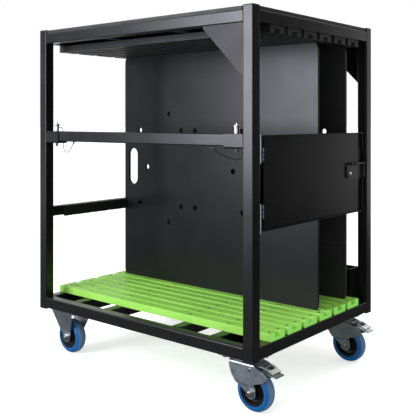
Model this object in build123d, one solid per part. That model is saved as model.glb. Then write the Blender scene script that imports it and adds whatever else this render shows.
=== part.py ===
from build123d import *
import math
import os

# A wheeled steel frame that carries heavy square base plates on edge. The plates stand in grooved
# slats, behind a gate at the right end and a lift-out bar along the front.
# Millimetres. X runs along the frame to the gate, Y runs to the rear, Z is up.
# Sizes and places below are from the frame's own centre. The finished pieces are moved along X so
# that the origin lies on the floor under the middle of the whole object, brake pedals included.

# Frame
FRAME_LENGTH = 800.0
FRAME_WIDTH = 600.0
TUBE = 30.0
TUBE_WALL = 2.0
TUBE_CORNER = 3.0
BEARER_OFFSETS = (131.0, 261.0)
CAP_FOOT = 4.0
CAP_HEAD = 3.0
CAP_PLUG = 15.0
CAP_FIT = 0.2
POST_PROUD = 2.0

# Plates that the trolley carries, shorter than the frame by the room at their ends
PLATE_ROOM = 50.0
PLATE_THICK = 8.0
PLATE_CORNER = 30.0
PLATE_END_GAP = 0.5
PLATE_PATTERN = 240.0
PLATE_HOLE = 16.5
PLATE_HALF_PATTERN_X = 63.0
PLATE_MID_HOLES_X = (-271.0, 85.0)
PLATE_OUTER_X = 304.0
PLATE_DIAGONAL = 173.0
HAND_SLOT_LENGTH = 120.0
HAND_SLOT_WIDTH = 40.0
HAND_SLOT_EDGE = 39.0
LOADED_SLATS = {"front": 3, "rear": 5}
PLATE_TURNS = {"front": 0.0, "rear": 180.0}

# Grooved slats
SLAT_COUNT = 6
SLAT_FRAME_GAP = 76.0
SLAT_GATE_GAP = 3.0
SLAT_WIDTH = 63.0
SLAT_THICK = 20.0
SLAT_EDGE = 1.5
GROOVE_WIDTH = 12.0
GROOVE_DEPTH = 12.0
GROOVE_END_GAP = 8.0
MOUTH_WIDTH = 23.0
MOUTH_LENGTH = 36.0
ROOF_PLAY = 1.0
SCREW_HEAD = 8.0
SCREW_HEAD_HEIGHT = 2.6
SCREW_SHANK = 4.0
SCREW_LENGTH = 26.0
SCREW_FIT = 0.15

# Top deck
DECK_THICK = 9.0
DECK_INSET = 2.0
DECK_POST_GAP = 3.0

# Side rail and comb at the left end
SIDE_RAIL_DEPTH = 20.0
SIDE_RAIL_BOTTOM = 412.0
COMB_THICK = 8.0
COMB_HEIGHT = 32.0
COMB_DROP = 3.0
COMB_SLOT_DEPTH = 4.0

# Gussets
GUSSET_LEG = 124.0
GUSSET_THICK = 3.0
GUSSET_RECESS = 3.0
GUSSET_TIP = 6.0

# Front bar, saddles and pins
BAR_BOTTOM = 643.0
BAR_END_GAP = 3.0
BAR_SIDE_GAP = 0.3
SADDLE_LENGTH = 57.0
SADDLE_THICK = 2.5
SADDLE_FLOOR = 5.5
SADDLE_BEND = 5.0
PIN_FROM_POST = 30.0
PIN_SHAFT = 8.0
PIN_BODY = 13.0
PIN_BODY_HEIGHT = 16.5
PIN_CAP = 15.6
PIN_CAP_HEIGHT = 5.0
PIN_KNOB = 5.4
PIN_KNOB_HEIGHT = 5.0
PIN_TIP = 9.5
PIN_FIT = 0.05
PIN_SADDLE_FIT = 0.4
PIN_SEAT_GAP = 0.3

# Wire lanyards
WIRE = 2.0
WIRE_FERRULE = 4.0
WIRE_TAB = 9.0
WIRE_TAB_THICK = 2.0
ARC_SHARE = 0.45
# Way of the right lanyard from the pin's body, over the back of the saddle and down, to the bar's
# underside. Each point is along X, to the rear and upwards from where the pin's axis meets the
# underside of the bar.
LANYARD_WAY = (
    (0.0, 7.0, 40.0),
    (0.5, 16.0, 42.5),
    (2.5, 23.8, 38.0),
    (4.5, 27.5, 27.0),
    (5.5, 28.5, 11.0),
    (5.5, 28.2, -5.0),
    (3.0, 27.0, -19.0),
    (-4.0, 25.0, -29.5),
    (-16.0, 22.8, -34.2),
    (-31.0, 20.5, -32.0),
    (-47.0, 12.5, -26.0),
    (-62.5, 5.0, -17.0),
    (-74.0, 1.0, -7.5),
)

# Gate
GATE_BOTTOM = 440.0
GATE_HEIGHT = 230.0
GATE_HINGE_GAP = 20.5
GATE_LATCH_GAP = 13.0
GATE_SHEET = 2.0
GATE_RECESS = 6.0
GATE_LIP = 6.0
GATE_CORNER = 4.0
HINGE_STILE = 12.0
HINGE_INSET = 2.0
HINGE_POST_GAP = 0.8
KNUCKLE = 7.0
KNUCKLE_LENGTH = 33.0
KNUCKLE_GAP = 0.5
KNUCKLE_END_DROP = 3.0
HINGE_PIN = 4.0
HINGE_PIN_HEAD = 6.0
HINGE_PIN_HEAD_HEIGHT = 3.5
HINGE_FIT = 0.05
LEAF_THICK = 2.5
LEAF_WIDTH = 12.0

# Latch on the gate
LATCH_PLATE_LENGTH = 92.0
LATCH_OVERHANG = 2.5
LATCH_PLATE_HEIGHT = 36.5
LATCH_ABOVE_GATE_BOTTOM = 99.0
LATCH_PLATE_THICK = 3.5
LATCH_PLATE_ROUND = 14.0
LATCH_RETURN_THICK = 3.0
LATCH_RETURN_REACH = 10.0
LATCH_BARREL = 7.6
LATCH_BARREL_LENGTH = 53.0
LIP_NOTCH_BELOW = 4.0
LIP_NOTCH_HEIGHT = 90.0
BOLT_DIAMETER = 5.0
BOLT_ABOVE_PLATE = 4.5
BOLT_STAND_OFF = 6.5
BOLT_LENGTH = 77.5
BOLT_KNOB = 7.4
BOLT_KNOB_LENGTH = 8.0
BOLT_TIP_GAP = 0.5
BOLT_FIT = 0.06
BOLT_POST_FIT = 0.3
RIVET_FROM_LEFT = 19.5
RIVET_FROM_BOTTOM = 14.0
RIVET_SHANK = 5.0
RIVET_HEAD = 11.0
RIVET_HEAD_HEIGHT = 2.4
RIVET_TAPER = 30.0
RIVET_FIT = 0.1

# Parts bin
BIN_LENGTH = 300.0
BIN_DEPTH = 52.0
BIN_HEIGHT = 100.0
BIN_WALL = 1.5
BIN_SLAT_GAP = 3.0
BIN_POST_GAP = 1.0

# Casters
WHEEL_DIAMETER = 100.0
WHEEL_WIDTH = 36.0
CASTER_RISE = 34.0
CASTER_PLATE_LENGTH = 105.0
CASTER_PLATE_WIDTH = 85.0
CASTER_PLATE_THICK = 4.0
CASTER_HOLES_X = 80.0
CASTER_HOLES_Y = 60.0
CASTER_HOLE = 9.0
MOUNT_PLATE_THICK = 6.0
MOUNT_PLATE_LENGTH = 116.0
MOUNT_PLATE_WIDTH = 140.0
MOUNT_PLATE_INSET = 22.0
MOUNT_PLATE_NOTCH_GAP = 2.0
SWIVEL_INSET = 70.0
FIXED_INSET = 74.0
CASTER_SIDE_INSET = 66.0
TRAIL = 32.0
STUD = 8.0
STUD_LENGTH = 10.5
NUT_ACROSS_FLATS = 13.0
NUT_HEIGHT = 5.0
AXLE = 10.0
AXLE_FIT = 0.05
AXLE_LEG_FIT = 0.1
AXLE_HEX = 17.0
AXLE_HEX_HEIGHT = 8.0
AXLE_TIP = 3.0
HUB_LENGTH = 40.0
HUB_DIAMETER = 26.0
HUB_SIDE_GAP = 1.0
RIM_DIAMETER = 70.0
RIM_BAND = 6.0
RIM_WIDTH = 34.0
RIM_WEB = 8.0
TREAD_FLAT = 6.0
TYRE_SIDE_HEIGHT = 1.0
LEG_THICK = 3.0
LEG_STEP = 4.0
LEG_STEP_LOW = 13.0
LEG_STEP_HIGH = 21.0
LOBE_RADIUS = 15.0
BRACKET_TOP_HALF = 45.0
BRACKET_LOW_HALF = 20.0
CROWN_THICK = 3.0
CROWN_DROP = 16.0
CROWN_FRONT = 32.0
CROWN_REAR = 29.0
CROWN_ROUND = 6.0
FORK_CORNER = 4.0
# Points of the fork's side view, along X and upwards from the axle
FORK_FRONT_BULGE = (-57.0, 42.0)
FORK_LEG_FRONT = (-35.0, 14.0)
FORK_NOTCH = (13.0, 24.0)
FORK_TAIL_LOW = (39.0, 32.5)
FORK_TAIL_TIP = (52.0, 47.0)
FORK_TAIL_BULGE = (30.0, 60.0)
KINGPIN = 12.0
KINGPIN_HEAD = 22.0
KINGPIN_HEAD_HEIGHT = 5.0
KINGPIN_FIT = 0.05
RACE_OUTER = 52.0
RACE_INNER = 30.0
RACE_GAP = 0.5
RACE_HEIGHT = 5.0
DOME_BASE = 56.0
DOME_TOP = 50.0

# Brake pedal. Its heights are from the top of the tyre.
PEDAL_PIVOT_RISE = 6.5
PEDAL_BARREL = 9.0
PEDAL_PIN = 5.0
PEDAL_PIN_HEAD = 8.0
PEDAL_PIN_HEAD_HEIGHT = 2.0
PEDAL_FIT = 0.05
PEDAL_WIDTH = 34.0
PEDAL_SHEET = 2.5
# Lower face of each tongue, along X from the axle and upwards
PEDAL_LOWER = ((0.0, 6.5), (20.0, 3.5), (48.0, 0.5), (70.0, -3.0))
PEDAL_UPPER = ((0.0, 6.5), (8.0, 11.5), (20.0, 14.5), (34.0, 14.5), (48.0, 10.5), (61.0, 3.5))
PEDAL_WINDOWS = ((22.0, 31.0), (37.0, 50.0))
PEDAL_WINDOW_WIDTH = 20.0
SHOE_X = 24.0
SHOE_LENGTH = 10.0
SHOE_RISE = 0.5

# Small allowance by which a cutter runs past the face that it opens.
PAST = 1.0

# Places that follow from the sizes above
HALF_LENGTH = FRAME_LENGTH / 2
HALF_WIDTH = FRAME_WIDTH / 2
INNER_X = HALF_LENGTH - TUBE
INNER_Y = HALF_WIDTH - TUBE
CASTER_HEIGHT = WHEEL_DIAMETER + CASTER_RISE
RAIL_BOTTOM = CASTER_HEIGHT + MOUNT_PLATE_THICK
RAIL_TOP = RAIL_BOTTOM + TUBE
SLAT_TOP = RAIL_TOP + SLAT_THICK
GROOVE_FLOOR = SLAT_TOP - GROOVE_DEPTH
PLATE_SIDE = FRAME_LENGTH - PLATE_ROOM
PLATE_TOP = GROOVE_FLOOR + PLATE_SIDE
ROOF_GROOVE_TOP = PLATE_TOP + ROOF_PLAY
ROOF_SLAT_BOTTOM = ROOF_GROOVE_TOP - GROOVE_DEPTH
TOP_RAIL_BOTTOM = ROOF_SLAT_BOTTOM + SLAT_THICK
TOP_RAIL_TOP = TOP_RAIL_BOTTOM + TUBE
DECK_TOP = TOP_RAIL_TOP + DECK_THICK
POST_TOP = DECK_TOP + POST_PROUD - CAP_HEAD
COMB_FACE = -HALF_LENGTH + SIDE_RAIL_DEPTH + COMB_THICK
PLATE_LEFT = COMB_FACE - COMB_SLOT_DEPTH + PLATE_END_GAP
PLATE_MID_X = PLATE_LEFT + PLATE_SIDE / 2
PLATE_MID_Z = GROOVE_FLOOR + PLATE_SIDE / 2
SLAT_PITCH = (FRAME_WIDTH - 2 * SLAT_FRAME_GAP - SLAT_WIDTH) / (SLAT_COUNT - 1)
SLAT_SPAN = SLAT_PITCH * (SLAT_COUNT - 1) + SLAT_WIDTH
BAR_TOP = BAR_BOTTOM + TUBE
BAR_Y = -HALF_WIDTH + SADDLE_THICK + BAR_SIDE_GAP + TUBE / 2
PIN_X = INNER_X - PIN_FROM_POST
GATE_FRONT = -INNER_Y + GATE_HINGE_GAP
GATE_REAR = INNER_Y - GATE_LATCH_GAP
GATE_TOP = GATE_BOTTOM + GATE_HEIGHT
GATE_FACE = HALF_LENGTH - GATE_RECESS - GATE_LIP
HINGE_X = HALF_LENGTH - HINGE_INSET
HINGE_Y = -INNER_Y + HINGE_POST_GAP + KNUCKLE / 2
LATCH_PLATE_BOTTOM = GATE_BOTTOM + LATCH_ABOVE_GATE_BOTTOM
BOLT_HEIGHT = LATCH_PLATE_BOTTOM + LATCH_PLATE_HEIGHT + BOLT_ABOVE_PLATE
BOLT_X = GATE_FACE + BOLT_STAND_OFF
BOLT_TIP_Y = INNER_Y - BOLT_TIP_GAP
WHEEL_RADIUS = WHEEL_DIAMETER / 2
SWIVEL_X = HALF_LENGTH - SWIVEL_INSET
FIXED_X = -HALF_LENGTH + FIXED_INSET
CASTER_Y = HALF_WIDTH - CASTER_SIDE_INSET
LEG_INNER = HUB_LENGTH / 2 + HUB_SIDE_GAP
LEG_FLARE = CASTER_PLATE_WIDTH / 2 - LEG_THICK - LEG_INNER - LEG_STEP
CROWN_BOTTOM = CASTER_HEIGHT - CROWN_DROP
PEDAL_PIVOT_Z = WHEEL_DIAMETER + PEDAL_PIVOT_RISE
SHOE_BOTTOM = WHEEL_DIAMETER + SHOE_RISE
PEDAL_REACH = SWIVEL_X + TRAIL + PEDAL_LOWER[-1][0]
OBJECT_MIDDLE_X = (PEDAL_REACH - HALF_LENGTH) / 2


def slab(x_range, y_range, z_range):
    """A block between two limits on each axis."""
    middle = [(low + high) / 2 for low, high in (x_range, y_range, z_range)]
    sizes = [high - low for low, high in (x_range, y_range, z_range)]
    return Pos(*middle) * Box(*sizes)


def rod(start, end, diameter):
    """A round bar between two points."""
    axis = Vector(*end) - Vector(*start)
    plane = Plane(origin=start, z_dir=axis)
    return extrude(plane * Circle(diameter / 2), axis.length)


def square_tube(plane, start, length, width=TUBE, height=TUBE):
    """A hollow tube with rounded edges, extruded from a section plane."""
    outer = RectangleRounded(width, height, TUBE_CORNER)
    inner_corner = TUBE_CORNER - TUBE_WALL / 2
    inner = RectangleRounded(width - 2 * TUBE_WALL, height - 2 * TUBE_WALL, inner_corner)
    section = plane * (outer - inner)
    return Pos(*start) * extrude(section, length)


def tube_along_x(x_range, y, z, width=TUBE):
    low, high = x_range
    return square_tube(Plane.YZ, (low, y, z), high - low, width)


def tube_along_y(x, y_range, z, width=TUBE):
    low, high = y_range
    return square_tube(Plane.XZ, (x, high, z), high - low, width)


def save(node, *shapes):
    """Write one node, which may hold several separate solids, in the object's own frame."""
    solids = [Pos(-OBJECT_MIDDLE_X, 0, 0) * solid for shape in shapes for solid in shape.solids()]
    whole = solids[0] if len(solids) == 1 else Compound(children=solids)
    export_step(whole, os.path.join("parts", node + ".step"))
    print(node, len(solids), "solids", round(sum(solid.volume for solid in solids)), "mm3")


# Frame of square tube

def post(x, y):
    return Pos(x, y, RAIL_BOTTOM) * square_tube(Plane.XY, (0, 0, 0), POST_TOP - RAIL_BOTTOM)


def post_cap(x, y, z, flange, direction):
    """A push-in cap: a flange on the tube's end and a plug inside it."""
    plug_side = TUBE - 2 * TUBE_WALL - 2 * CAP_FIT
    plug_corner = TUBE_CORNER - TUBE_WALL / 2
    head = extrude(RectangleRounded(TUBE, TUBE, TUBE_CORNER), flange * direction)
    plug = extrude(RectangleRounded(plug_side, plug_side, plug_corner), -CAP_PLUG * direction)
    return Pos(x, y, z) * (head + plug)


def frame_posts():
    post_x = HALF_LENGTH - TUBE / 2
    post_y = HALF_WIDTH - TUBE / 2
    caps = []
    for side_x, side in ((-1, "left"), (1, "right")):
        for side_y, end in ((-1, "front"), (1, "rear")):
            x = side_x * post_x
            y = side_y * post_y
            upright = post(x, y)
            if (side, end) == ("right", "rear"):
                hole_start = (BOLT_X, INNER_Y - PAST, BOLT_HEIGHT)
                hole_end = (BOLT_X, INNER_Y + TUBE_WALL + PAST, BOLT_HEIGHT)
                upright -= rod(hole_start, hole_end, BOLT_DIAMETER + 2 * BOLT_POST_FIT)
            save(f"post_{end}_{side}", upright)
            caps.append(post_cap(x, y, RAIL_BOTTOM, CAP_FOOT, -1))
            caps.append(post_cap(x, y, POST_TOP, CAP_HEAD, 1))
    save("post_caps", *caps)


def slat_y(index):
    return (index - (SLAT_COUNT - 1) / 2) * SLAT_PITCH


def screw_offsets():
    """The two screw lines of a slat, each in the middle of a block beside the groove."""
    middle = (SLAT_WIDTH / 2 + GROOVE_WIDTH / 2) / 2
    return (-middle, middle)


def screw_lines():
    return [slat_y(index) + offset for index in range(SLAT_COUNT) for offset in screw_offsets()]


def end_rail_x():
    return HALF_LENGTH - TUBE / 2


def floor_crossings():
    bearers = [side * offset for offset in BEARER_OFFSETS for side in (-1, 1)]
    return bearers + [-end_rail_x(), end_rail_x()]


def roof_crossings():
    inner = BEARER_OFFSETS[0]
    return [-inner, inner, -end_rail_x(), end_rail_x()]


def screw():
    """A countersunk screw, head upwards, with its top at the origin."""
    head = Pos(0, 0, -SCREW_HEAD_HEIGHT / 2) * Cone(SCREW_SHANK / 2, SCREW_HEAD / 2, SCREW_HEAD_HEIGHT)
    shank_length = SCREW_LENGTH - SCREW_HEAD_HEIGHT
    shank = Pos(0, 0, -SCREW_HEAD_HEIGHT - shank_length / 2) * Cylinder(SCREW_SHANK / 2, shank_length)
    return head + shank


def screw_pocket():
    """The clearance that a screw needs, a little larger all round."""
    head_low = SCREW_SHANK / 2 + SCREW_FIT
    head_high = SCREW_HEAD / 2 + SCREW_FIT
    head = Pos(0, 0, -SCREW_HEAD_HEIGHT / 2) * Cone(head_low, head_high, SCREW_HEAD_HEIGHT)
    mouth = Pos(0, 0, PAST / 2) * Cylinder(head_high, PAST)
    shank_length = SCREW_LENGTH + PAST - SCREW_HEAD_HEIGHT
    shank = Pos(0, 0, -SCREW_HEAD_HEIGHT - shank_length / 2) * Cylinder(head_low, shank_length)
    return head + mouth + shank


FLIP = Rot(180, 0, 0)


def with_floor_holes(shape, x):
    """Screw holes through a rail or bearer that runs along Y at this X."""
    cutters = [Pos(x, y, SLAT_TOP) * screw_pocket() for y in screw_lines()]
    return shape.cut(*cutters)


def with_roof_holes(shape, x):
    cutters = [Pos(x, y, ROOF_SLAT_BOTTOM) * FLIP * screw_pocket() for y in screw_lines()]
    return shape.cut(*cutters)


def frame_rails():
    along = (-INNER_X, INNER_X)
    across = (-INNER_Y, INNER_Y)
    rail_y = HALF_WIDTH - TUBE / 2
    low = RAIL_BOTTOM + TUBE / 2
    high = TOP_RAIL_BOTTOM + TUBE / 2
    save("bottom_rail_front", tube_along_x(along, -rail_y, low))
    save("bottom_rail_rear", tube_along_x(along, rail_y, low))
    save("top_rail_front", tube_along_x(along, -rail_y, high))
    save("top_rail_rear", tube_along_x(along, rail_y, high))
    for side, name in ((-1, "left"), (1, "right")):
        x = side * end_rail_x()
        save(f"bottom_rail_{name}", with_floor_holes(tube_along_y(x, across, low), x))
        save(f"top_rail_{name}", with_roof_holes(tube_along_y(x, across, high), x))
    bearers = []
    for offset in BEARER_OFFSETS:
        for x in (-offset, offset):
            bearers.append(with_floor_holes(tube_along_y(x, across, low), x))
    for x in (-BEARER_OFFSETS[0], BEARER_OFFSETS[0]):
        bearers.append(with_roof_holes(tube_along_y(x, across, high), x))
    save("cross_bearers", *bearers)


# Grooved slats, deck and comb

def groove_cutter():
    """The groove seen from above: a round stop at the left, a lead-in that widens at the gate end."""
    half = GROOVE_WIDTH / 2
    mouth = MOUTH_WIDTH / 2
    stop = PLATE_LEFT - GROOVE_END_GAP
    left = stop + half
    right = HALF_LENGTH - SLAT_GATE_GAP
    inner = right - MOUTH_LENGTH
    outline = [
        ThreePointArc((left, half), (stop, 0), (left, -half)),
        Line((left, -half), (inner, -half)),
        TangentArc((inner, -half), (right, -mouth), tangent=(1, 0)),
        Polyline((right, -mouth), (right + PAST, -mouth), (right + PAST, mouth), (right, mouth)),
        TangentArc((inner, half), (right, mouth), tangent=(1, 0)),
        Line((inner, half), (left, half)),
    ]
    face = make_face(outline)
    return Pos(0, 0, SLAT_THICK - GROOVE_DEPTH) * extrude(face, GROOVE_DEPTH + PAST)


def slat(crossings):
    """One slat lying on Z = 0 along X, groove upwards."""
    section = RectangleRounded(SLAT_WIDTH, SLAT_THICK, SLAT_EDGE)
    bar = extrude(Plane.YZ * section, FRAME_LENGTH - SLAT_GATE_GAP)
    bar = Pos(-HALF_LENGTH, 0, SLAT_THICK / 2) * bar
    pockets = [Pos(x, y, SLAT_THICK) * screw_pocket() for x in crossings for y in screw_offsets()]
    return bar.cut(groove_cutter(), *pockets)


def slats_and_screws():
    floor_slat = slat(floor_crossings())
    # A roof slat is the same bar turned over about its own length.
    roof_slat = FLIP * slat(roof_crossings())
    roof_slats = []
    screws = []
    for index in range(SLAT_COUNT):
        y = slat_y(index)
        save(f"floor_slat_{index + 1}", Pos(0, y, RAIL_TOP) * floor_slat)
        roof_slats.append(Pos(0, y, TOP_RAIL_BOTTOM) * roof_slat)
    save("roof_slats", *roof_slats)
    fastener = screw()
    for y in screw_lines():
        screws += [Pos(x, y, SLAT_TOP) * fastener for x in floor_crossings()]
        screws += [Pos(x, y, ROOF_SLAT_BOTTOM) * FLIP * fastener for x in roof_crossings()]
    save("slat_screws", *screws)


def deck():
    half_x = HALF_LENGTH - DECK_INSET
    half_y = HALF_WIDTH - DECK_INSET
    panel = slab((-half_x, half_x), (-half_y, half_y), (TOP_RAIL_TOP, DECK_TOP))
    notch_x = INNER_X - DECK_POST_GAP
    notch_y = INNER_Y - DECK_POST_GAP
    for side_x in (-1, 1):
        for side_y in (-1, 1):
            x_range = sorted((side_x * notch_x, side_x * HALF_LENGTH))
            y_range = sorted((side_y * notch_y, side_y * HALF_WIDTH))
            panel -= slab(x_range, y_range, (TOP_RAIL_TOP - PAST, DECK_TOP + PAST))
    save("deck_panel", panel)


def side_rail_and_comb():
    rail_x = -HALF_LENGTH + SIDE_RAIL_DEPTH / 2
    rail_z = SIDE_RAIL_BOTTOM + TUBE / 2
    save("left_rail", tube_along_y(rail_x, (-INNER_Y, INNER_Y), rail_z, SIDE_RAIL_DEPTH))
    bottom = SIDE_RAIL_BOTTOM - COMB_DROP
    z_range = (bottom, bottom + COMB_HEIGHT)
    comb = slab((COMB_FACE - COMB_THICK, COMB_FACE), (-SLAT_SPAN / 2, SLAT_SPAN / 2), z_range)
    for index in range(SLAT_COUNT):
        y = slat_y(index)
        slot_y = (y - GROOVE_WIDTH / 2, y + GROOVE_WIDTH / 2)
        slot_z = (bottom - PAST, bottom + COMB_HEIGHT + PAST)
        comb -= slab((COMB_FACE - COMB_SLOT_DEPTH, COMB_FACE + PAST), slot_y, slot_z)
    save("left_comb", comb)


def gussets():
    """Right-angled plates that brace the top rail to the right posts, tips cut square."""
    corner = (INNER_X, TOP_RAIL_BOTTOM)
    outline = Polyline(
        corner,
        (INNER_X - GUSSET_LEG, TOP_RAIL_BOTTOM),
        (INNER_X - GUSSET_LEG, TOP_RAIL_BOTTOM - GUSSET_TIP),
        (INNER_X - GUSSET_TIP, TOP_RAIL_BOTTOM - GUSSET_LEG),
        (INNER_X, TOP_RAIL_BOTTOM - GUSSET_LEG),
        close=True,
    )
    plate = extrude(Plane.XZ * make_face(outline), GUSSET_THICK)
    front = Pos(0, -HALF_WIDTH + GUSSET_RECESS + GUSSET_THICK, 0) * plate
    rear = Pos(0, HALF_WIDTH - GUSSET_RECESS, 0) * plate
    save("gussets", front, rear)


# Front bar, its saddles and pins

def pin_places():
    return ((-PIN_X, "left"), (PIN_X, "right"))


def saddles():
    """Open troughs, bent round below, beside the front posts that the bar is laid into."""
    inner_half = TUBE / 2 + BAR_SIDE_GAP
    outer_half = inner_half + SADDLE_THICK
    wall_low = BAR_BOTTOM - SADDLE_FLOOR
    pair = []
    for side in (-1, 1):
        post_face = side * INNER_X
        free_end = side * (INNER_X - SADDLE_LENGTH)
        x_range = sorted((free_end, post_face))
        trough = slab(x_range, (BAR_Y - outer_half, BAR_Y + outer_half), (wall_low, BAR_BOTTOM))
        trough += slab(x_range, (BAR_Y - outer_half, BAR_Y - inner_half), (wall_low, BAR_TOP))
        trough += slab(x_range, (BAR_Y + inner_half, BAR_Y + outer_half), (wall_low, BAR_TOP))
        trough = fillet(trough.edges().filter_by(Axis.X).group_by(Axis.Z)[0], SADDLE_BEND)
        hole_start = (side * PIN_X, BAR_Y, wall_low - PAST)
        hole_end = (side * PIN_X, BAR_Y, BAR_BOTTOM + PAST)
        trough -= rod(hole_start, hole_end, PIN_SHAFT + 2 * PIN_SADDLE_FIT)
        pair.append(trough)
    save("bar_saddles", *pair)


def front_bar():
    half = INNER_X - BAR_END_GAP
    bar = tube_along_x((-half, half), BAR_Y, BAR_BOTTOM + TUBE / 2)
    for x, _ in pin_places():
        hole_start = (x, BAR_Y, BAR_BOTTOM - PAST)
        hole_end = (x, BAR_Y, BAR_TOP + PAST)
        bar -= rod(hole_start, hole_end, PIN_SHAFT + 2 * PIN_FIT)
    save("front_bar", bar)


def pins():
    tip = BAR_BOTTOM - SADDLE_FLOOR - PIN_TIP
    seat = BAR_TOP + PIN_SEAT_GAP
    body_top = seat + PIN_BODY_HEIGHT
    cap_top = body_top + PIN_CAP_HEIGHT
    for x, name in pin_places():
        pin = rod((x, BAR_Y, tip), (x, BAR_Y, seat), PIN_SHAFT)
        pin += rod((x, BAR_Y, seat), (x, BAR_Y, body_top), PIN_BODY)
        pin += rod((x, BAR_Y, body_top), (x, BAR_Y, cap_top), PIN_CAP)
        pin += rod((x, BAR_Y, cap_top), (x, BAR_Y, cap_top + PIN_KNOB_HEIGHT), PIN_KNOB)
        save(f"pin_{name}", pin)


def wire(points):
    """A round wire along straight runs joined by arcs as large as the runs allow."""
    stops = [Vector(*point) for point in points]
    radii = []
    for before, here, after in zip(stops, stops[1:], stops[2:]):
        turn = math.radians((here - before).get_angle(after - here))
        shorter = min((here - before).length, (after - here).length)
        radii.append(ARC_SHARE * shorter / math.tan(turn / 2))
    path = FilletPolyline(*stops, radius=radii)
    section = Plane(origin=stops[0], z_dir=stops[1] - stops[0]) * Circle(WIRE / 2)
    tube = sweep(section, path)
    ideal = section.area * path.length
    print("wire radii", [round(radius, 1) for radius in radii], "length", round(path.length, 1))
    print("wire volume over section times length", round(tube.volume / ideal, 4))
    return tube


def wire_end(face_point, normal, wire_point):
    """A round tab against a face, with the ferrule that grips the wire's end."""
    base = Vector(*face_point)
    out = Vector(*normal)
    tab = rod(base, base + out * WIRE_TAB_THICK, WIRE_TAB)
    middle = base + out * (WIRE_TAB_THICK / 2)
    ferrule = rod(middle, wire_point, WIRE_FERRULE)
    past_face = rod(base - out * WIRE_TAB, base, 2 * WIRE_TAB)
    return (tab + ferrule) - past_face


def lanyards():
    """A wire from each pin's body to a tab under the bar, so that a drawn pin is not lost."""
    for side, name in ((-1, "left"), (1, "right")):
        run = [(side * (PIN_X + x), BAR_Y + y, BAR_BOTTOM + z) for x, y, z in LANYARD_WAY]
        last = Vector(*run[-1])
        heading = last - Vector(*run[-2])
        tab_middle = BAR_BOTTOM - WIRE_TAB_THICK / 2
        tab = last + heading * ((tab_middle - last.Z) / heading.Z)
        ending = wire_end((tab.X, tab.Y, BAR_BOTTOM), (0, 0, -1), run[-1])
        save(f"lanyard_{name}", wire(run), ending)


# Gate with its hinges and latch

def gate_panel():
    """A sheet tray whose lips stand outwards, with a stile behind its hinge edge and a latch notch."""
    width = GATE_REAR - GATE_FRONT
    middle = ((GATE_FRONT + GATE_REAR) / 2, (GATE_BOTTOM + GATE_TOP) / 2)
    outer = Pos(*middle) * RectangleRounded(width, GATE_HEIGHT, GATE_CORNER)
    inner_size = (width - 2 * GATE_SHEET, GATE_HEIGHT - 2 * GATE_SHEET)
    inner = Pos(*middle) * RectangleRounded(*inner_size, GATE_CORNER - GATE_SHEET)
    block = Pos(GATE_FACE - GATE_SHEET, 0, 0) * extrude(Plane.YZ * outer, GATE_LIP + GATE_SHEET)
    pocket = Pos(GATE_FACE, 0, 0) * extrude(Plane.YZ * inner, GATE_LIP + PAST)
    tray = block - pocket
    stile_x = (GATE_FACE - GATE_SHEET - HINGE_STILE, GATE_FACE)
    stile_y = (GATE_FRONT, GATE_FRONT + GATE_SHEET)
    tray += slab(stile_x, stile_y, (GATE_BOTTOM + GATE_CORNER, GATE_TOP - GATE_CORNER))
    notch_bottom = LATCH_PLATE_BOTTOM - LIP_NOTCH_BELOW
    notch_x = (GATE_FACE, HALF_LENGTH)
    notch_y = (GATE_REAR - GATE_SHEET - PAST, GATE_REAR + PAST)
    tray -= slab(notch_x, notch_y, (notch_bottom, notch_bottom + LIP_NOTCH_HEIGHT))
    tray -= rivet_hole(GATE_FACE - GATE_SHEET - PAST, GATE_FACE + PAST)
    save("gate_panel", tray)


def bolt_hole(y_low, y_high):
    return rod((BOLT_X, y_low, BOLT_HEIGHT), (BOLT_X, y_high, BOLT_HEIGHT), BOLT_DIAMETER + 2 * BOLT_FIT)


def latch_right():
    """The rear end of the latch plate, a little past the gate's edge, where it turns outwards."""
    return GATE_REAR + LATCH_OVERHANG


def latch_left():
    return latch_right() - LATCH_PLATE_LENGTH


def rivet_hole(x_low, x_high):
    y = latch_left() + RIVET_FROM_LEFT
    z = LATCH_PLATE_BOTTOM + RIVET_FROM_BOTTOM
    return rod((x_low, y, z), (x_high, y, z), RIVET_SHANK + 2 * RIVET_FIT)


def hinge_levels():
    """For each hinge, the ends of the gate's knuckle and of the post's knuckle, and the pin's way."""
    reach = 2 * KNUCKLE_LENGTH + KNUCKLE_GAP
    top = GATE_TOP + KNUCKLE_END_DROP
    bottom = GATE_BOTTOM - KNUCKLE_END_DROP
    upper_gate = (top - reach, top - reach + KNUCKLE_LENGTH)
    upper_post = (top - KNUCKLE_LENGTH, top)
    lower_gate = (bottom + reach - KNUCKLE_LENGTH, bottom + reach)
    lower_post = (bottom, bottom + KNUCKLE_LENGTH)
    return ((upper_gate, upper_post, -1), (lower_gate, lower_post, 1))


def knuckle(z_range):
    low, high = z_range
    return rod((HINGE_X, HINGE_Y, low), (HINGE_X, HINGE_Y, high), KNUCKLE)


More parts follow.
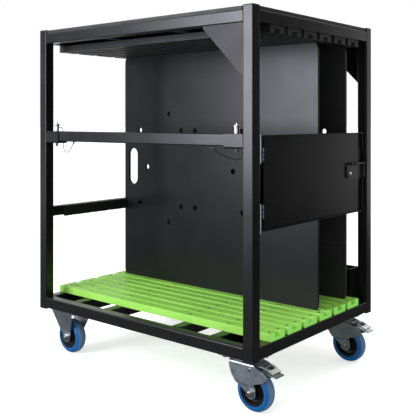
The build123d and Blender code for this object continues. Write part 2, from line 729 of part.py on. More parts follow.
def hinges():
    pintles = []
    leaves = []
    leaf_back = HINGE_X - LEAF_WIDTH
    tangent_x = (HINGE_X - KNUCKLE / 2, HINGE_X - KNUCKLE / 2 + LEAF_THICK)
    for gate_range, post_range, direction in hinge_levels():
        start = post_range[0] if direction < 0 else post_range[1]
        head = start + direction * (KNUCKLE_LENGTH + 2 * KNUCKLE_GAP)
        tip = head + direction * HINGE_PIN_HEAD_HEIGHT
        post_side = knuckle(post_range)
        post_side += slab((leaf_back, HINGE_X), (-INNER_Y, -INNER_Y + LEAF_THICK), post_range)
        post_side += rod((HINGE_X, HINGE_Y, start), (HINGE_X, HINGE_Y, head), HINGE_PIN)
        post_side += rod((HINGE_X, HINGE_Y, head), (HINGE_X, HINGE_Y, tip), HINGE_PIN_HEAD)
        pintles.append(post_side)
        gate_side = knuckle(gate_range)
        gate_side += slab(tangent_x, (HINGE_Y, GATE_FRONT), gate_range)
        gate_side += slab((leaf_back, tangent_x[1]), (GATE_FRONT - LEAF_THICK, GATE_FRONT), gate_range)
        bore_low = (HINGE_X, HINGE_Y, gate_range[0] - PAST)
        bore_high = (HINGE_X, HINGE_Y, gate_range[1] + PAST)
        gate_side -= rod(bore_low, bore_high, HINGE_PIN + 2 * HINGE_FIT)
        leaves.append(gate_side)
    save("hinge_pintles", *pintles)
    save("gate_hinge_leaves", *leaves)


def latch_rivet():
    """The rivet that holds the latch plate to the gate."""
    y = latch_left() + RIVET_FROM_LEFT
    z = LATCH_PLATE_BOTTOM + RIVET_FROM_BOTTOM
    front = GATE_FACE + LATCH_PLATE_THICK
    back = GATE_FACE - GATE_SHEET
    rivet = rod((back - RIVET_HEAD_HEIGHT, y, z), (back, y, z), RIVET_HEAD)
    rivet += rod((back, y, z), (front, y, z), RIVET_SHANK)
    head = Plane(origin=(front, y, z), z_dir=(1, 0, 0)) * Circle(RIVET_HEAD / 2)
    rivet += extrude(head, RIVET_HEAD_HEIGHT, taper=RIVET_TAPER)
    save("latch_rivet", rivet)


def latch():
    """A plate on the gate that turns outwards at its rear end, with the barrel that guides the bolt."""
    left = latch_left()
    right = latch_right()
    bottom = LATCH_PLATE_BOTTOM
    top = bottom + LATCH_PLATE_HEIGHT
    face = make_face(Polyline((left, bottom), (right, bottom), (right, top), (left, top), close=True))
    round_corner = face.vertices().sort_by_distance((left, bottom, 0))[0]
    face = fillet(round_corner, LATCH_PLATE_ROUND)
    plate = Pos(GATE_FACE, 0, 0) * extrude(Plane.YZ * face, LATCH_PLATE_THICK)
    return_y = (right - LATCH_RETURN_THICK, right)
    plate += slab((GATE_FACE, GATE_FACE + LATCH_RETURN_REACH), return_y, (bottom, top))
    barrel_left = right - LATCH_BARREL_LENGTH
    neck_x = (GATE_FACE, GATE_FACE + LATCH_PLATE_THICK)
    plate += slab(neck_x, (barrel_left, right), (top, BOLT_HEIGHT))
    plate += rod((BOLT_X, barrel_left, BOLT_HEIGHT), (BOLT_X, right, BOLT_HEIGHT), LATCH_BARREL)
    plate -= bolt_hole(barrel_left - PAST, right + PAST)
    plate -= rivet_hole(GATE_FACE - PAST, GATE_FACE + LATCH_PLATE_THICK + PAST)
    save("latch_plate", plate)
    knob_end = BOLT_TIP_Y - BOLT_LENGTH
    bolt = rod((BOLT_X, knob_end, BOLT_HEIGHT), (BOLT_X, BOLT_TIP_Y, BOLT_HEIGHT), BOLT_DIAMETER)
    knob_start = (BOLT_X, knob_end - BOLT_KNOB_LENGTH, BOLT_HEIGHT)
    bolt += rod(knob_start, (BOLT_X, knob_end, BOLT_HEIGHT), BOLT_KNOB)
    save("latch_bolt", bolt)


# Load and parts bin

def plate_holes():
    """Centres of the plate's holes, from its middle, as seen from the front."""
    half = PLATE_PATTERN / 2
    centres = [(x, 0.0) for x in PLATE_MID_HOLES_X]
    for side in (-1, 1):
        centres += [(x, side * half) for x in (-half, half, -PLATE_HALF_PATTERN_X, -PLATE_OUTER_X)]
        centres.append((-PLATE_DIAGONAL, side * PLATE_DIAGONAL))
    return centres


def base_plates():
    section = RectangleRounded(PLATE_SIDE, PLATE_SIDE, PLATE_CORNER)
    for x, z in plate_holes():
        section -= Pos(x, z) * Circle(PLATE_HOLE / 2)
    slot_x = -PLATE_SIDE / 2 + HAND_SLOT_EDGE
    section -= Pos(slot_x, 0) * Rot(0, 0, 90) * SlotOverall(HAND_SLOT_LENGTH, HAND_SLOT_WIDTH)
    plate = Pos(0, PLATE_THICK / 2, 0) * extrude(Plane.XZ * section, PLATE_THICK)
    for name, index in LOADED_SLATS.items():
        place = Pos(PLATE_MID_X, slat_y(index), PLATE_MID_Z)
        save(f"base_plate_{name}", place * Rot(0, 0, PLATE_TURNS[name]) * plate)


def parts_bin():
    front = SLAT_SPAN / 2 + BIN_SLAT_GAP
    right = INNER_X - BIN_POST_GAP
    left = right - BIN_LENGTH
    top = RAIL_TOP + BIN_HEIGHT
    box = slab((left, right), (front, front + BIN_DEPTH), (RAIL_TOP, top))
    inside_x = (left + BIN_WALL, right - BIN_WALL)
    inside_y = (front + BIN_WALL, front + BIN_DEPTH - BIN_WALL)
    box -= slab(inside_x, inside_y, (RAIL_TOP + BIN_WALL, top + PAST))
    save("parts_bin", box)


# Casters

def caster_hole_places():
    half_x = CASTER_HOLES_X / 2
    half_y = CASTER_HOLES_Y / 2
    return [(x, y) for x in (-half_x, half_x) for y in (-half_y, half_y)]


def caster_plate():
    """The drilled top plate of a caster, centred on the caster's own axis."""
    section = RectangleRounded(CASTER_PLATE_LENGTH, CASTER_PLATE_WIDTH, TUBE_CORNER)
    for x, y in caster_hole_places():
        section -= Pos(x, y) * Circle(CASTER_HOLE / 2)
    return Pos(0, 0, CASTER_HEIGHT - CASTER_PLATE_THICK) * extrude(section, CASTER_PLATE_THICK)


def caster_places():
    """X, Y, name and kind of each caster."""
    places = []
    for side, end in ((-1, "front"), (1, "rear")):
        places.append((SWIVEL_X, side * CASTER_Y, end + "_right", "swivel"))
        places.append((FIXED_X, side * CASTER_Y, end + "_left", "fixed"))
    return places


def mount_plates():
    plates = []
    for _, y, _, kind in caster_places():
        side_x = 1 if kind == "swivel" else -1
        side_y = 1 if y > 0 else -1
        outer_x = HALF_LENGTH - MOUNT_PLATE_INSET
        outer_y = HALF_WIDTH - MOUNT_PLATE_INSET
        x_range = sorted((side_x * outer_x, side_x * (outer_x - MOUNT_PLATE_LENGTH)))
        y_range = sorted((side_y * outer_y, side_y * (outer_y - MOUNT_PLATE_WIDTH)))
        plate = slab(x_range, y_range, (CASTER_HEIGHT, RAIL_BOTTOM))
        notch_x = sorted((side_x * (INNER_X - MOUNT_PLATE_NOTCH_GAP), side_x * HALF_LENGTH))
        notch_y = sorted((side_y * (INNER_Y - MOUNT_PLATE_NOTCH_GAP), side_y * HALF_WIDTH))
        plate -= slab(notch_x, notch_y, (CASTER_HEIGHT - PAST, RAIL_BOTTOM + PAST))
        plates.append(plate)
    save("caster_mount_plates", *plates)


def hexagon(across_flats):
    return RegularPolygon(across_flats / 2, 6, major_radius=False)


def caster_fixings():
    """Studs welded under the mounting plates, with the nuts that clamp the casters."""
    stud = Pos(0, 0, CASTER_HEIGHT - STUD_LENGTH) * extrude(Circle(STUD / 2), STUD_LENGTH)
    nut_low = CASTER_HEIGHT - CASTER_PLATE_THICK - NUT_HEIGHT
    nut = Pos(0, 0, nut_low) * extrude(hexagon(NUT_ACROSS_FLATS), NUT_HEIGHT)
    fixing = stud + nut
    group = []
    for x, y, _, _ in caster_places():
        group += [Pos(x + dx, y + dy, 0) * fixing for dx, dy in caster_hole_places()]
    save("caster_fixings", *group)


def leg_strip(top, flare):
    """One bent side plate of a bracket, seen from the end: close to the hub below, wider above."""
    low = WHEEL_RADIUS - LOBE_RADIUS - PAST
    inner = [
        (LEG_INNER, low),
        (LEG_INNER, WHEEL_RADIUS + LEG_STEP_LOW),
        (LEG_INNER + LEG_STEP, WHEEL_RADIUS + LEG_STEP_HIGH),
        (LEG_INNER + LEG_STEP + flare, top),
    ]
    outer = [(y + LEG_THICK, z) for y, z in reversed(inner)]
    section = make_face(Polyline(*inner, *outer, close=True))
    reach = CASTER_PLATE_LENGTH
    return Pos(-reach, 0, 0) * extrude(Plane.YZ * section, 2 * reach)


def side_prism(face):
    """A side view, drawn as X and Z about the axle, as a block wider than the caster."""
    start = Pos(0, CASTER_PLATE_WIDTH, WHEEL_RADIUS)
    return start * extrude(Plane.XZ * face, 2 * CASTER_PLATE_WIDTH)


def axle_lobe():
    """The rounded foot of a leg, round the axle, as a block across the caster."""
    start = (0, -CASTER_PLATE_WIDTH, WHEEL_RADIUS)
    end = (0, CASTER_PLATE_WIDTH, WHEEL_RADIUS)
    return rod(start, end, 2 * LOBE_RADIUS)


def axle_hole():
    start = (0, -CASTER_PLATE_WIDTH, WHEEL_RADIUS)
    end = (0, CASTER_PLATE_WIDTH, WHEEL_RADIUS)
    return rod(start, end, AXLE + 2 * AXLE_LEG_FIT)


def both_legs(face, top, flare):
    strip = leg_strip(top, flare)
    leg = strip & (side_prism(face) + axle_lobe())
    leg -= axle_hole()
    return leg + leg.mirror(Plane.XZ)


def fixed_bracket():
    """A rigid bracket about its own axle: a drilled plate and two tapering legs."""
    top = CASTER_HEIGHT - CASTER_PLATE_THICK
    outline = Polyline(
        (-BRACKET_TOP_HALF, top - WHEEL_RADIUS),
        (-BRACKET_LOW_HALF, LEG_STEP_LOW),
        (-LOBE_RADIUS, 0),
        (LOBE_RADIUS, 0),
        (BRACKET_LOW_HALF, LEG_STEP_LOW),
        (BRACKET_TOP_HALF, top - WHEEL_RADIUS),
        close=True,
    )
    return caster_plate() + both_legs(make_face(outline), top, LEG_FLARE)


def fork_side():
    """The fork seen from the side: a curved front edge, a foot on the axle and a tail for the brake."""
    top = CROWN_BOTTOM + CROWN_THICK - WHEEL_RADIUS
    front = (-TRAIL - CROWN_FRONT, top)
    rear = (0, top)
    foot_front = (-LOBE_RADIUS, 0)
    foot_rear = (LOBE_RADIUS, 0)
    return make_face([
        ThreePointArc(front, FORK_FRONT_BULGE, FORK_LEG_FRONT),
        Polyline(FORK_LEG_FRONT, foot_front, foot_rear, FORK_NOTCH, FORK_TAIL_LOW, FORK_TAIL_TIP),
        ThreePointArc(FORK_TAIL_TIP, FORK_TAIL_BULGE, rear),
        Line(rear, front),
    ])


def fork():
    """A swivel fork about its own axle, with rounded shoulders and the lower race on its crown."""
    top = CROWN_BOTTOM + CROWN_THICK
    front = -TRAIL - CROWN_FRONT
    tail = FORK_TAIL_TIP[0]
    half = LEG_INNER + LEG_STEP + LEG_THICK
    legs = both_legs(fork_side(), top, 0.0)
    crown = slab((front, -TRAIL + CROWN_REAR), (-half, half), (CROWN_BOTTOM, top))
    plan = RectangleRounded(tail - front, 2 * half, FORK_CORNER)
    from_above = Pos((tail + front) / 2, 0, 0) * extrude(plan, CASTER_HEIGHT)
    end_view = RectangleRounded(2 * half, 2 * top, CROWN_ROUND)
    from_end = Pos(front - PAST, 0, 0) * extrude(Plane.YZ * end_view, tail - front + 2 * PAST)
    body = (legs + crown) & from_above & from_end
    race = extrude(Circle(RACE_OUTER / 2) - Circle(RACE_INNER / 2), RACE_HEIGHT)
    body += Pos(-TRAIL, 0, top) * race
    bore_low = (-TRAIL, 0, CROWN_BOTTOM - PAST)
    bore_high = (-TRAIL, 0, top + PAST)
    body -= rod(bore_low, bore_high, KINGPIN + 2 * KINGPIN_FIT)
    pin_start = (0, -half - PAST, PEDAL_PIVOT_Z)
    pin_end = (0, half + PAST, PEDAL_PIVOT_Z)
    return body - rod(pin_start, pin_end, PEDAL_PIN + 2 * PEDAL_FIT)


def swivel_head():
    """The drilled plate, the domed race above the fork and the headed kingpin through it."""
    race_top = CROWN_BOTTOM + CROWN_THICK + RACE_HEIGHT + RACE_GAP
    plate_low = CASTER_HEIGHT - CASTER_PLATE_THICK
    dome_height = plate_low - race_top
    dome = Pos(0, 0, race_top + dome_height / 2) * Cone(DOME_BASE / 2, DOME_TOP / 2, dome_height)
    head_top = CROWN_BOTTOM - RACE_GAP
    head_low = head_top - KINGPIN_HEAD_HEIGHT
    kingpin = rod((0, 0, head_low), (0, 0, race_top), KINGPIN)
    kingpin += rod((0, 0, head_low), (0, 0, head_top), KINGPIN_HEAD)
    return caster_plate() + dome + kingpin


def axle():
    """A headed axle bolt with its nut and the thread that shows past it."""
    half = LEG_INNER + LEG_THICK
    shaft = rod((0, -half - AXLE_HEX_HEIGHT - AXLE_TIP, WHEEL_RADIUS), (0, half, WHEEL_RADIUS), AXLE)
    head = Plane(origin=(0, half, WHEEL_RADIUS), z_dir=(0, 1, 0)) * hexagon(AXLE_HEX)
    nut = Plane(origin=(0, -half, WHEEL_RADIUS), z_dir=(0, -1, 0)) * hexagon(AXLE_HEX)
    return shaft + extrude(head, AXLE_HEX_HEIGHT) + extrude(nut, AXLE_HEX_HEIGHT)


def rim():
    """A moulded wheel centre: hub, dished web and the band under the tyre."""
    bore = AXLE / 2 + AXLE_FIT
    hub = HUB_DIAMETER / 2
    band_out = RIM_DIAMETER / 2
    band_in = band_out - RIM_BAND
    half = [
        (bore, 0),
        (bore, HUB_LENGTH / 2),
        (hub, HUB_LENGTH / 2),
        (hub, RIM_WEB / 2),
        (band_in, RIM_WEB / 2),
        (band_in, RIM_WIDTH / 2),
        (band_out, RIM_WIDTH / 2),
        (band_out, 0),
    ]
    other = [(r, -y) for r, y in reversed(half[1:-1])]
    section = make_face(Polyline(*half, *other, close=True))
    return Pos(0, 0, WHEEL_RADIUS) * revolve(section, Axis.Y)


def tyre():
    """A soft tyre with rounded shoulders and a narrow flat tread."""
    inner = RIM_DIAMETER / 2
    outer = WHEEL_RADIUS
    side = WHEEL_WIDTH / 2
    flat = TREAD_FLAT / 2
    rim_side = RIM_WIDTH / 2
    low = inner + TYRE_SIDE_HEIGHT
    section = make_face([
        Line((inner, -rim_side), (inner, rim_side)),
        Line((inner, rim_side), (low, side)),
        TangentArc((outer, flat), (low, side), tangent=(0, 1)),
        Line((outer, -flat), (outer, flat)),
        TangentArc((outer, -flat), (low, -side), tangent=(0, -1)),
        Line((low, -side), (inner, -rim_side)),
    ])
    return Pos(0, 0, WHEEL_RADIUS) * revolve(section, Axis.Y)


def bent_sheet(points):
    """A bent strip seen from the side, given as X of its lower face and rise over the tyre."""
    lower = [(x, WHEEL_DIAMETER + rise) for x, rise in points]
    upper = [(x, z + PEDAL_SHEET) for x, z in reversed(lower)]
    face = make_face(Polyline(*lower, *upper, close=True))
    return Pos(0, PEDAL_WIDTH / 2, 0) * extrude(Plane.XZ * face, PEDAL_WIDTH)


def pedal():
    """A two-tongue brake pedal on its barrel, with the shoe that meets the tyre."""
    barrel_start = (0, -PEDAL_WIDTH / 2, PEDAL_PIVOT_Z)
    barrel_end = (0, PEDAL_WIDTH / 2, PEDAL_PIVOT_Z)
    lower = bent_sheet(PEDAL_LOWER)
    upper = bent_sheet(PEDAL_UPPER)
    window_y = (-PEDAL_WINDOW_WIDTH / 2, PEDAL_WINDOW_WIDTH / 2)
    for window_x in PEDAL_WINDOWS:
        upper -= slab(window_x, window_y, (PEDAL_PIVOT_Z, CASTER_HEIGHT))
    shoe_x = (SHOE_X - SHOE_LENGTH / 2, SHOE_X + SHOE_LENGTH / 2)
    shoe = slab(shoe_x, (-PEDAL_WIDTH / 2, PEDAL_WIDTH / 2), (SHOE_BOTTOM, PEDAL_PIVOT_Z))
    body = lower + upper + shoe + rod(barrel_start, barrel_end, PEDAL_BARREL)
    return body - rod(barrel_start, barrel_end, PEDAL_PIN + 2 * PEDAL_FIT)


def pedal_pin():
    half = LEG_INNER + LEG_STEP + LEG_THICK
    shaft = rod((0, -half, PEDAL_PIVOT_Z), (0, half, PEDAL_PIVOT_Z), PEDAL_PIN)
    for side in (-1, 1):
        start = (0, side * half, PEDAL_PIVOT_Z)
        end = (0, side * (half + PEDAL_PIN_HEAD_HEIGHT), PEDAL_PIVOT_Z)
        shaft += rod(start, end, PEDAL_PIN_HEAD)
    return shaft


def casters():
    bracket = fixed_bracket()
    swivel_fork = fork()
    head = swivel_head()
    wheel_axle = axle()
    wheel_rim = rim()
    wheel_tyre = tyre()
    brake = pedal()
    brake_pin = pedal_pin()
    fixed_brackets = []
    fixed_axles = []
    heads = []
    for x, y, name, kind in caster_places():
        if kind == "fixed":
            wheel_place = Pos(x, y, 0)
            fixed_brackets.append(wheel_place * bracket)
            fixed_axles.append(wheel_place * wheel_axle)
        else:
            wheel_place = Pos(x + TRAIL, y, 0)
            end = name.split("_")[0]
            heads.append(Pos(x, y, 0) * head)
            save(f"fork_{end}", wheel_place * swivel_fork)
            save(f"fork_axle_{end}", wheel_place * wheel_axle, wheel_place * brake_pin)
            save(f"brake_pedal_{end}", wheel_place * brake)
        save(f"rim_{name}", wheel_place * wheel_rim)
        save(f"tyre_{name}", wheel_place * wheel_tyre)
    save("fixed_brackets", *fixed_brackets)
    save("fixed_axles", *fixed_axles)
    save("swivel_heads", *heads)


os.makedirs("parts", exist_ok=True)
frame_posts()
frame_rails()
slats_and_screws()
deck()
side_rail_and_comb()
gussets()
saddles()
front_bar()
pins()
lanyards()
gate_panel()
hinges()
latch_rivet()
latch()
base_plates()
parts_bin()
mount_plates()
caster_fixings()
casters()
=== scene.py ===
# %% [markdown]
# A base plate trolley, dressed for its picture
# The trolley is a black steel frame on four casters. Heavy square plates stand on edge in green
# grooved slats, behind a gate at the right and a lift-out bar along the front.
# The CAD model already holds every solid at its real size, so it is loaded first as a fixed frame.
# Blender then gives each surface its finish, and adds the small things that are easier to make
# here: wire lanyards, cross-head screws, weld beads, turned pins and moulded wheel centres.

# %% Load the fixed frame
import math

import bmesh
import bpy
import numpy as np
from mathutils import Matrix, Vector


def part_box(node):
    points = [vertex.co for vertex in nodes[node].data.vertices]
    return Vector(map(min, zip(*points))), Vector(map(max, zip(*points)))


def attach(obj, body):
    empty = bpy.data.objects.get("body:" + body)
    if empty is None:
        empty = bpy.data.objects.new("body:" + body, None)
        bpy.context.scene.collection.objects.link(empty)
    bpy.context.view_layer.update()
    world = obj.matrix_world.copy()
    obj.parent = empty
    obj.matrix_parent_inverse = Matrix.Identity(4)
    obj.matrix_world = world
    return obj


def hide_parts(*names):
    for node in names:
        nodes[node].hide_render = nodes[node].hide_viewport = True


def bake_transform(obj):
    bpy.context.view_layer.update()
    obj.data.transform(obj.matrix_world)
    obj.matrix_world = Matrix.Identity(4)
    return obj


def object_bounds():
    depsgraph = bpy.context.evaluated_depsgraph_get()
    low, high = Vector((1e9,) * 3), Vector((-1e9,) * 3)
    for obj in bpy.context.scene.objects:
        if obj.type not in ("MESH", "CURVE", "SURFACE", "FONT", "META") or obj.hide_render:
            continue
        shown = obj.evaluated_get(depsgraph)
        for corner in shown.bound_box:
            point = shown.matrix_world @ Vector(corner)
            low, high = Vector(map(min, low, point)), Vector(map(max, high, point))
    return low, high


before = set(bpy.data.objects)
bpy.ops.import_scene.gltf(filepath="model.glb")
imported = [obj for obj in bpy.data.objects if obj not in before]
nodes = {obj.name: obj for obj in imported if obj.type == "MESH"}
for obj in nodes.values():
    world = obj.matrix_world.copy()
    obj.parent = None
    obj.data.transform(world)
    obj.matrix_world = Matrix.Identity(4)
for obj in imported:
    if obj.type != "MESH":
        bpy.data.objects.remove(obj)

MM = 0.001
cad_low, cad_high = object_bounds()
print("CAD nodes", len(nodes), "box from", list(cad_low), "to", list(cad_high))

# %% [markdown]
# Where things are
# Every place is read from a node's box, so that nothing here has to be fitted by eye. The brake
# pedals stick out at the right, so the middle of the steel frame is not the origin, and it is
# taken from the posts instead.

# %% Measure the frame
post_low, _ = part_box("post_front_left")
_, post_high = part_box("post_rear_right")
FRAME_MIDDLE = (post_low[0] + post_high[0]) / 2
FRAME_HALF_LENGTH = (post_high[0] - post_low[0]) / 2
FRAME_HALF_WIDTH = (post_high[1] - post_low[1]) / 2
print("frame middle along X", round(FRAME_MIDDLE, 4), "half length", round(FRAME_HALF_LENGTH, 4))

# %% [markdown]
# The camera
# The picture looks at the trolley's front right corner from chest height. The camera is level,
# because the uprights stay parallel in the picture, and the view is slid down with the lens shift
# instead of being tilted. The eye's place follows from where the frame's corners fall.

# %% Place the camera
EYE_FROM_MIDDLE = (1.3622, -1.6273, 0.7053)
EYE_TURN = math.radians(39.58)
LENS = 60.97
SENSOR = 36.0
LENS_SHIFT = -0.2106


def add_object(name, data):
    made = bpy.data.objects.new(name, data)
    bpy.context.scene.collection.objects.link(made)
    return made


def place_camera():
    lens = bpy.data.cameras.new("picture_camera")
    lens.sensor_width = SENSOR
    lens.lens = LENS
    lens.shift_y = LENS_SHIFT
    camera = add_object("picture_camera", lens)
    east, north, height = EYE_FROM_MIDDLE
    camera.location = (FRAME_MIDDLE + east, north, height)
    camera.rotation_euler = (math.pi / 2, 0, EYE_TURN)
    bpy.context.scene.camera = camera
    return camera


print("camera at", [round(value, 3) for value in place_camera().location])

# %% [markdown]
# Node trees: a small helper
# Finishes and grown shapes are both networks of nodes. The class below adds a node in one call:
# its settings come first, then its inputs by name. An input takes another node's socket, a list of
# them, or a plain value.

# %% A network of nodes
VECTOR_MATH = "ShaderNodeVectorMath"


class Network:
    """A node tree in the making."""

    def __init__(self, tree):
        self.tree = tree

    def feed(self, socket, term):
        if isinstance(term, bpy.types.NodeSocket):
            term = [term]
        if not isinstance(term, list):
            socket.default_value = term
            return
        for source in term:
            self.tree.links.new(source, socket)

    def node(self, kind, settings=None, terms=(), **inputs):
        """Add a node and change its settings. Terms feed its inputs by order, the rest by name."""
        made = self.tree.nodes.new(kind)
        for key, value in (settings or {}).items():
            setattr(made, key, value)
        for socket, term in zip(made.inputs, terms):
            self.feed(socket, term)
        for key, term in inputs.items():
            label = key.replace("_", " ")
            self.feed(next(item for item in made.inputs if item.enabled and item.name == label), term)
        return made

    def add(self, kind, settings=None, terms=(), **inputs):
        """Add a node in the same way, and return its first output."""
        made = self.node(kind, settings, terms, **inputs)
        return next(item for item in made.outputs if item.enabled)

    def sum(self, operation, *terms, kind="ShaderNodeMath"):
        return self.add(kind, {"operation": operation}, terms)

    def noise(self, vector, scale, detail):
        return self.add("ShaderNodeTexNoise", Vector=vector, Scale=scale, Detail=detail)

    def ramp(self, value, start, end, settings=None, **limits):
        """A value from zero at start to one at end, or between other limits."""
        ends = {"From_Min": start, "From_Max": end, **limits}
        return self.add("ShaderNodeMapRange", settings, Value=value, **ends)


print("network helper ready")

# %% [markdown]
# Groups
# A group is a tree with inputs of its own. It is built once and then placed in many finishes, or
# on many seed meshes, each time with other values.

# %% Groups of nodes
SOCKET_KINDS = {float: "NodeSocketFloat", int: "NodeSocketInt", tuple: "NodeSocketVector"}


class Group(Network):
    """A node group. An input is given as its kind of socket, or as a value that tells the kind."""

    def __init__(self, kind, name, inputs, result):
        super().__init__(bpy.data.node_groups.new(name, kind))
        sockets = self.tree.interface
        for key, usual in inputs.items():
            socket_kind = SOCKET_KINDS.get(type(usual), usual)
            label = key.replace("_", " ")
            socket = sockets.new_socket(name=label, in_out="INPUT", socket_type=socket_kind)
            if socket_kind != usual:
                socket.default_value = usual
        sockets.new_socket(name="Result", in_out="OUTPUT", socket_type=result)
        self.given = self.tree.nodes.new("NodeGroupInput").outputs
        self.leave = self.tree.nodes.new("NodeGroupOutput")

    def end(self, result):
        self.feed(self.leave.inputs["Result"], result)
        return self.tree


def shader_group(name, **inputs):
    return Group("ShaderNodeTree", name, {"Vector": "NodeSocketVector", **inputs}, "NodeSocketFloat")


print("group helper ready")

# %% [markdown]
# Shared effect 1: cloudy variation
# No real coat is the same all over: its shine and tone drift by a few percent. A noise texture
# gives a value around one half, and Map Range stretches the part that matters to the two limits
# that each finish asks for. All finishes use it, with other limits, so it is a group.

# %% Cloudy variation
NOISE_LOW = 0.32
NOISE_HIGH = 0.68


def cloudy_group():
    cloud = shader_group("cloudy_variation", Scale=20.0, Low=0.0, High=1.0)
    given = cloud.given
    noise = cloud.noise(given["Vector"], given["Scale"], detail=4.0)
    return cloud.end(cloud.ramp(noise, NOISE_LOW, NOISE_HIGH, To_Min=given["Low"], To_Max=given["High"]))


CLOUDY = cloudy_group()
print("made group", CLOUDY.name)

# %% [markdown]
# Shared effect 2: the skin of a coat
# Powder coat and moulded plastic have a skin of tiny hills, about a millimetre across, over a
# slower waviness. Two noises added together make that height, and a Bump node in the finish
# turns it into a broken highlight. Real displacement would cost a great many faces for the same.

# %% Skin of a coat
def skin_group():
    skin = shader_group("coat_skin", Grain=900.0, Waves=60.0, Wave_share=0.5)
    given = skin.given
    fine = skin.noise(given["Vector"], given["Grain"], detail=2.0)
    slow = skin.noise(given["Vector"], given["Waves"], detail=1.0)
    return skin.end(skin.sum("MULTIPLY_ADD", slow, given["Wave share"], fine))


SKIN = skin_group()
print("made group", SKIN.name)

# %% [markdown]
# Shared effect 3: worn and highlit edges
# A coat is thin on sharp edges and gets rubbed there first, and on the lime slats the same mask
# paints a highlight along the edges. The Bevel node gives the normal that a slightly rounded copy
# of the shape would have, and where it leaves the true normal there is an edge. A noise breaks the
# line up, so that it does not look drawn with a ruler.

# %% Worn and highlit edges
BEVEL_SAMPLES = 4
EDGE_STARTS = 0.99
EDGE_FULL = 0.85


def edge_group():
    edges = shader_group("worn_and_highlit_edges", Radius=0.001, Breakup=120.0, Amount=1.0)
    given = edges.given
    rounded = edges.add("ShaderNodeBevel", {"samples": BEVEL_SAMPLES}, Radius=given["Radius"])
    true_normal = edges.node("ShaderNodeNewGeometry").outputs["Normal"]
    alike = edges.sum("DOT_PRODUCT", rounded, true_normal, kind=VECTOR_MATH)
    noise = edges.noise(given["Vector"], given["Breakup"], detail=3.0)
    broken = edges.sum("MULTIPLY", edges.ramp(alike, EDGE_STARTS, EDGE_FULL), noise)
    return edges.end(edges.add("ShaderNodeClamp", Value=edges.sum("MULTIPLY", broken, given["Amount"])))


EDGE_WEAR_AND_HIGHLIGHT = edge_group()
print("made group", EDGE_WEAR_AND_HIGHLIGHT.name)

# %% [markdown]
# Shared effect 4: long scuffs
# Plates slide in and out and leave faint marks along their way. Noise that is squeezed along one
# axis becomes streaks along the other, and a narrow Map Range keeps only the strongest few.

# %% Long scuffs
SCUFF_FADE = 0.12


def scuff_group():
    scuffs = shader_group("long_scuffs", Squeeze=(4.0, 300.0, 300.0), Coverage=0.35)
    given = scuffs.given
    squeezed = scuffs.sum("MULTIPLY", given["Vector"], given["Squeeze"], kind=VECTOR_MATH)
    noise = scuffs.noise(squeezed, scale=1.0, detail=3.0)
    limit = scuffs.sum("SUBTRACT", 1.0, given["Coverage"])
    return scuffs.end(scuffs.ramp(noise, limit, scuffs.sum("ADD", limit, SCUFF_FADE)))


SCUFFS = scuff_group()
print("made group", SCUFFS.name)

# %% [markdown]
# Finishes: a few words about materials
# A finish here is one Principled shader with a little network in front of it. Values that are the
# same all over the surface are typed into the shader's own sockets. Only what varies, such as a
# fine grain or a rubbed edge, comes in through nodes. The class below holds the steps that most
# finishes share, so that each recipe can name its own values and little else.

# %% A small helper for finishes
class Finish(Network):
    """One material with its Principled shader."""

    def __init__(self, name):
        self.material = bpy.data.materials.new(name)
        self.material.use_nodes = True
        super().__init__(self.material.node_tree)
        self.shader = self.tree.nodes["Principled BSDF"]
        self.place = self.node("ShaderNodeTexCoord").outputs["Object"]

    def give(self, **terms):
        """Feed the shader: a socket where the surface varies, or else a plain value."""
        for key, term in terms.items():
            self.feed(self.shader.inputs[key.replace("_", " ")], term)

    def group(self, tree, **values):
        """Place a shared effect, with its own values."""
        return self.node("ShaderNodeGroup", {"node_tree": tree}, Vector=self.place, **values).outputs[0]

    def moved(self, offset, scale=(1, 1, 1)):
        """Object coordinates, shifted so that a pattern is centred on this point."""
        shift = tuple(-o * s for o, s in zip(offset, scale))
        return self.add("ShaderNodeMapping", Vector=self.place, Location=shift, Scale=scale)

    def along(self, axis, point=None):
        """One coordinate of a point, or of the object coordinates."""
        spot = self.place if point is None else point
        return self.node("ShaderNodeSeparateXYZ", Vector=spot).outputs[axis]

    def mix(self, factor, first, second):
        """A colour between two, each a socket or a plain colour."""
        ends = [(*colour, 1.0) if isinstance(colour, tuple) else colour for colour in (first, second)]
        return self.add("ShaderNodeMix", {"data_type": "RGBA"}, Factor=factor, A=ends[0], B=ends[1])

    def drift(self, scale, dark, pale):
        """A colour that drifts between two tones."""
        return self.mix(self.group(CLOUDY, Scale=scale), dark, pale)

    def worn_and_lit_edges(self, colour, bare, **values):
        """The colour, with another one on the edges: rubbed wear, and on the lime slats a painted
        highlight.
        """
        return self.mix(self.group(EDGE_WEAR_AND_HIGHLIGHT, **values), colour, bare)

    def bump(self, height, depth, strength):
        """Feed a height, in units of depth metres, to the shader's normal."""
        self.give(Normal=self.add("ShaderNodeBump", Strength=strength, Distance=depth, Height=height))

    def skin(self, depth, strength, **values):
        self.bump(self.group(SKIN, **values), depth, strength)

    def roughness(self, scale, limits):
        low, high = limits
        self.give(Roughness=self.group(CLOUDY, Scale=scale, Low=low, High=high))


print("finish helper ready")

# %% [markdown]
# Black powder coat
# The frame, the gate and the plates are steel with a baked black coat. In the picture it is
# nearly black where it faces a dark part of the room, and a cool grey where it mirrors the big
# lamp, so the colour stays black and the grey is left to the gloss. One recipe serves for all,
# with other values: the gussets and the gate are duller than the tubes, the plates more scuffed,
# and the rear plate is older and greyer. The gate's folded edge behind the near post, where the
# post shades it, is painted dead black with no shine: a painted shade.

# %% Black powder coat
FRAME_TONE = (0.0044, 0.0044, 0.0050)
PLATE_TONE = (0.0058, 0.0058, 0.0064)
OLDER_TONE = (0.0190, 0.0192, 0.0196)
LATCH_TONE = (0.0090, 0.0088, 0.0090)
PAINTED_SHADE_BLACK = (0.0015, 0.0015, 0.0015)
PAINTED_SHADE_REACH = 2.2 * MM
UPRIGHT_MARKS = (60.0, 60.0, 6.0)
SLIDE_MARKS = (5.0, 120.0, 160.0)
WORN_TIMES = 3.2
SCUFF_SHARE = 0.35


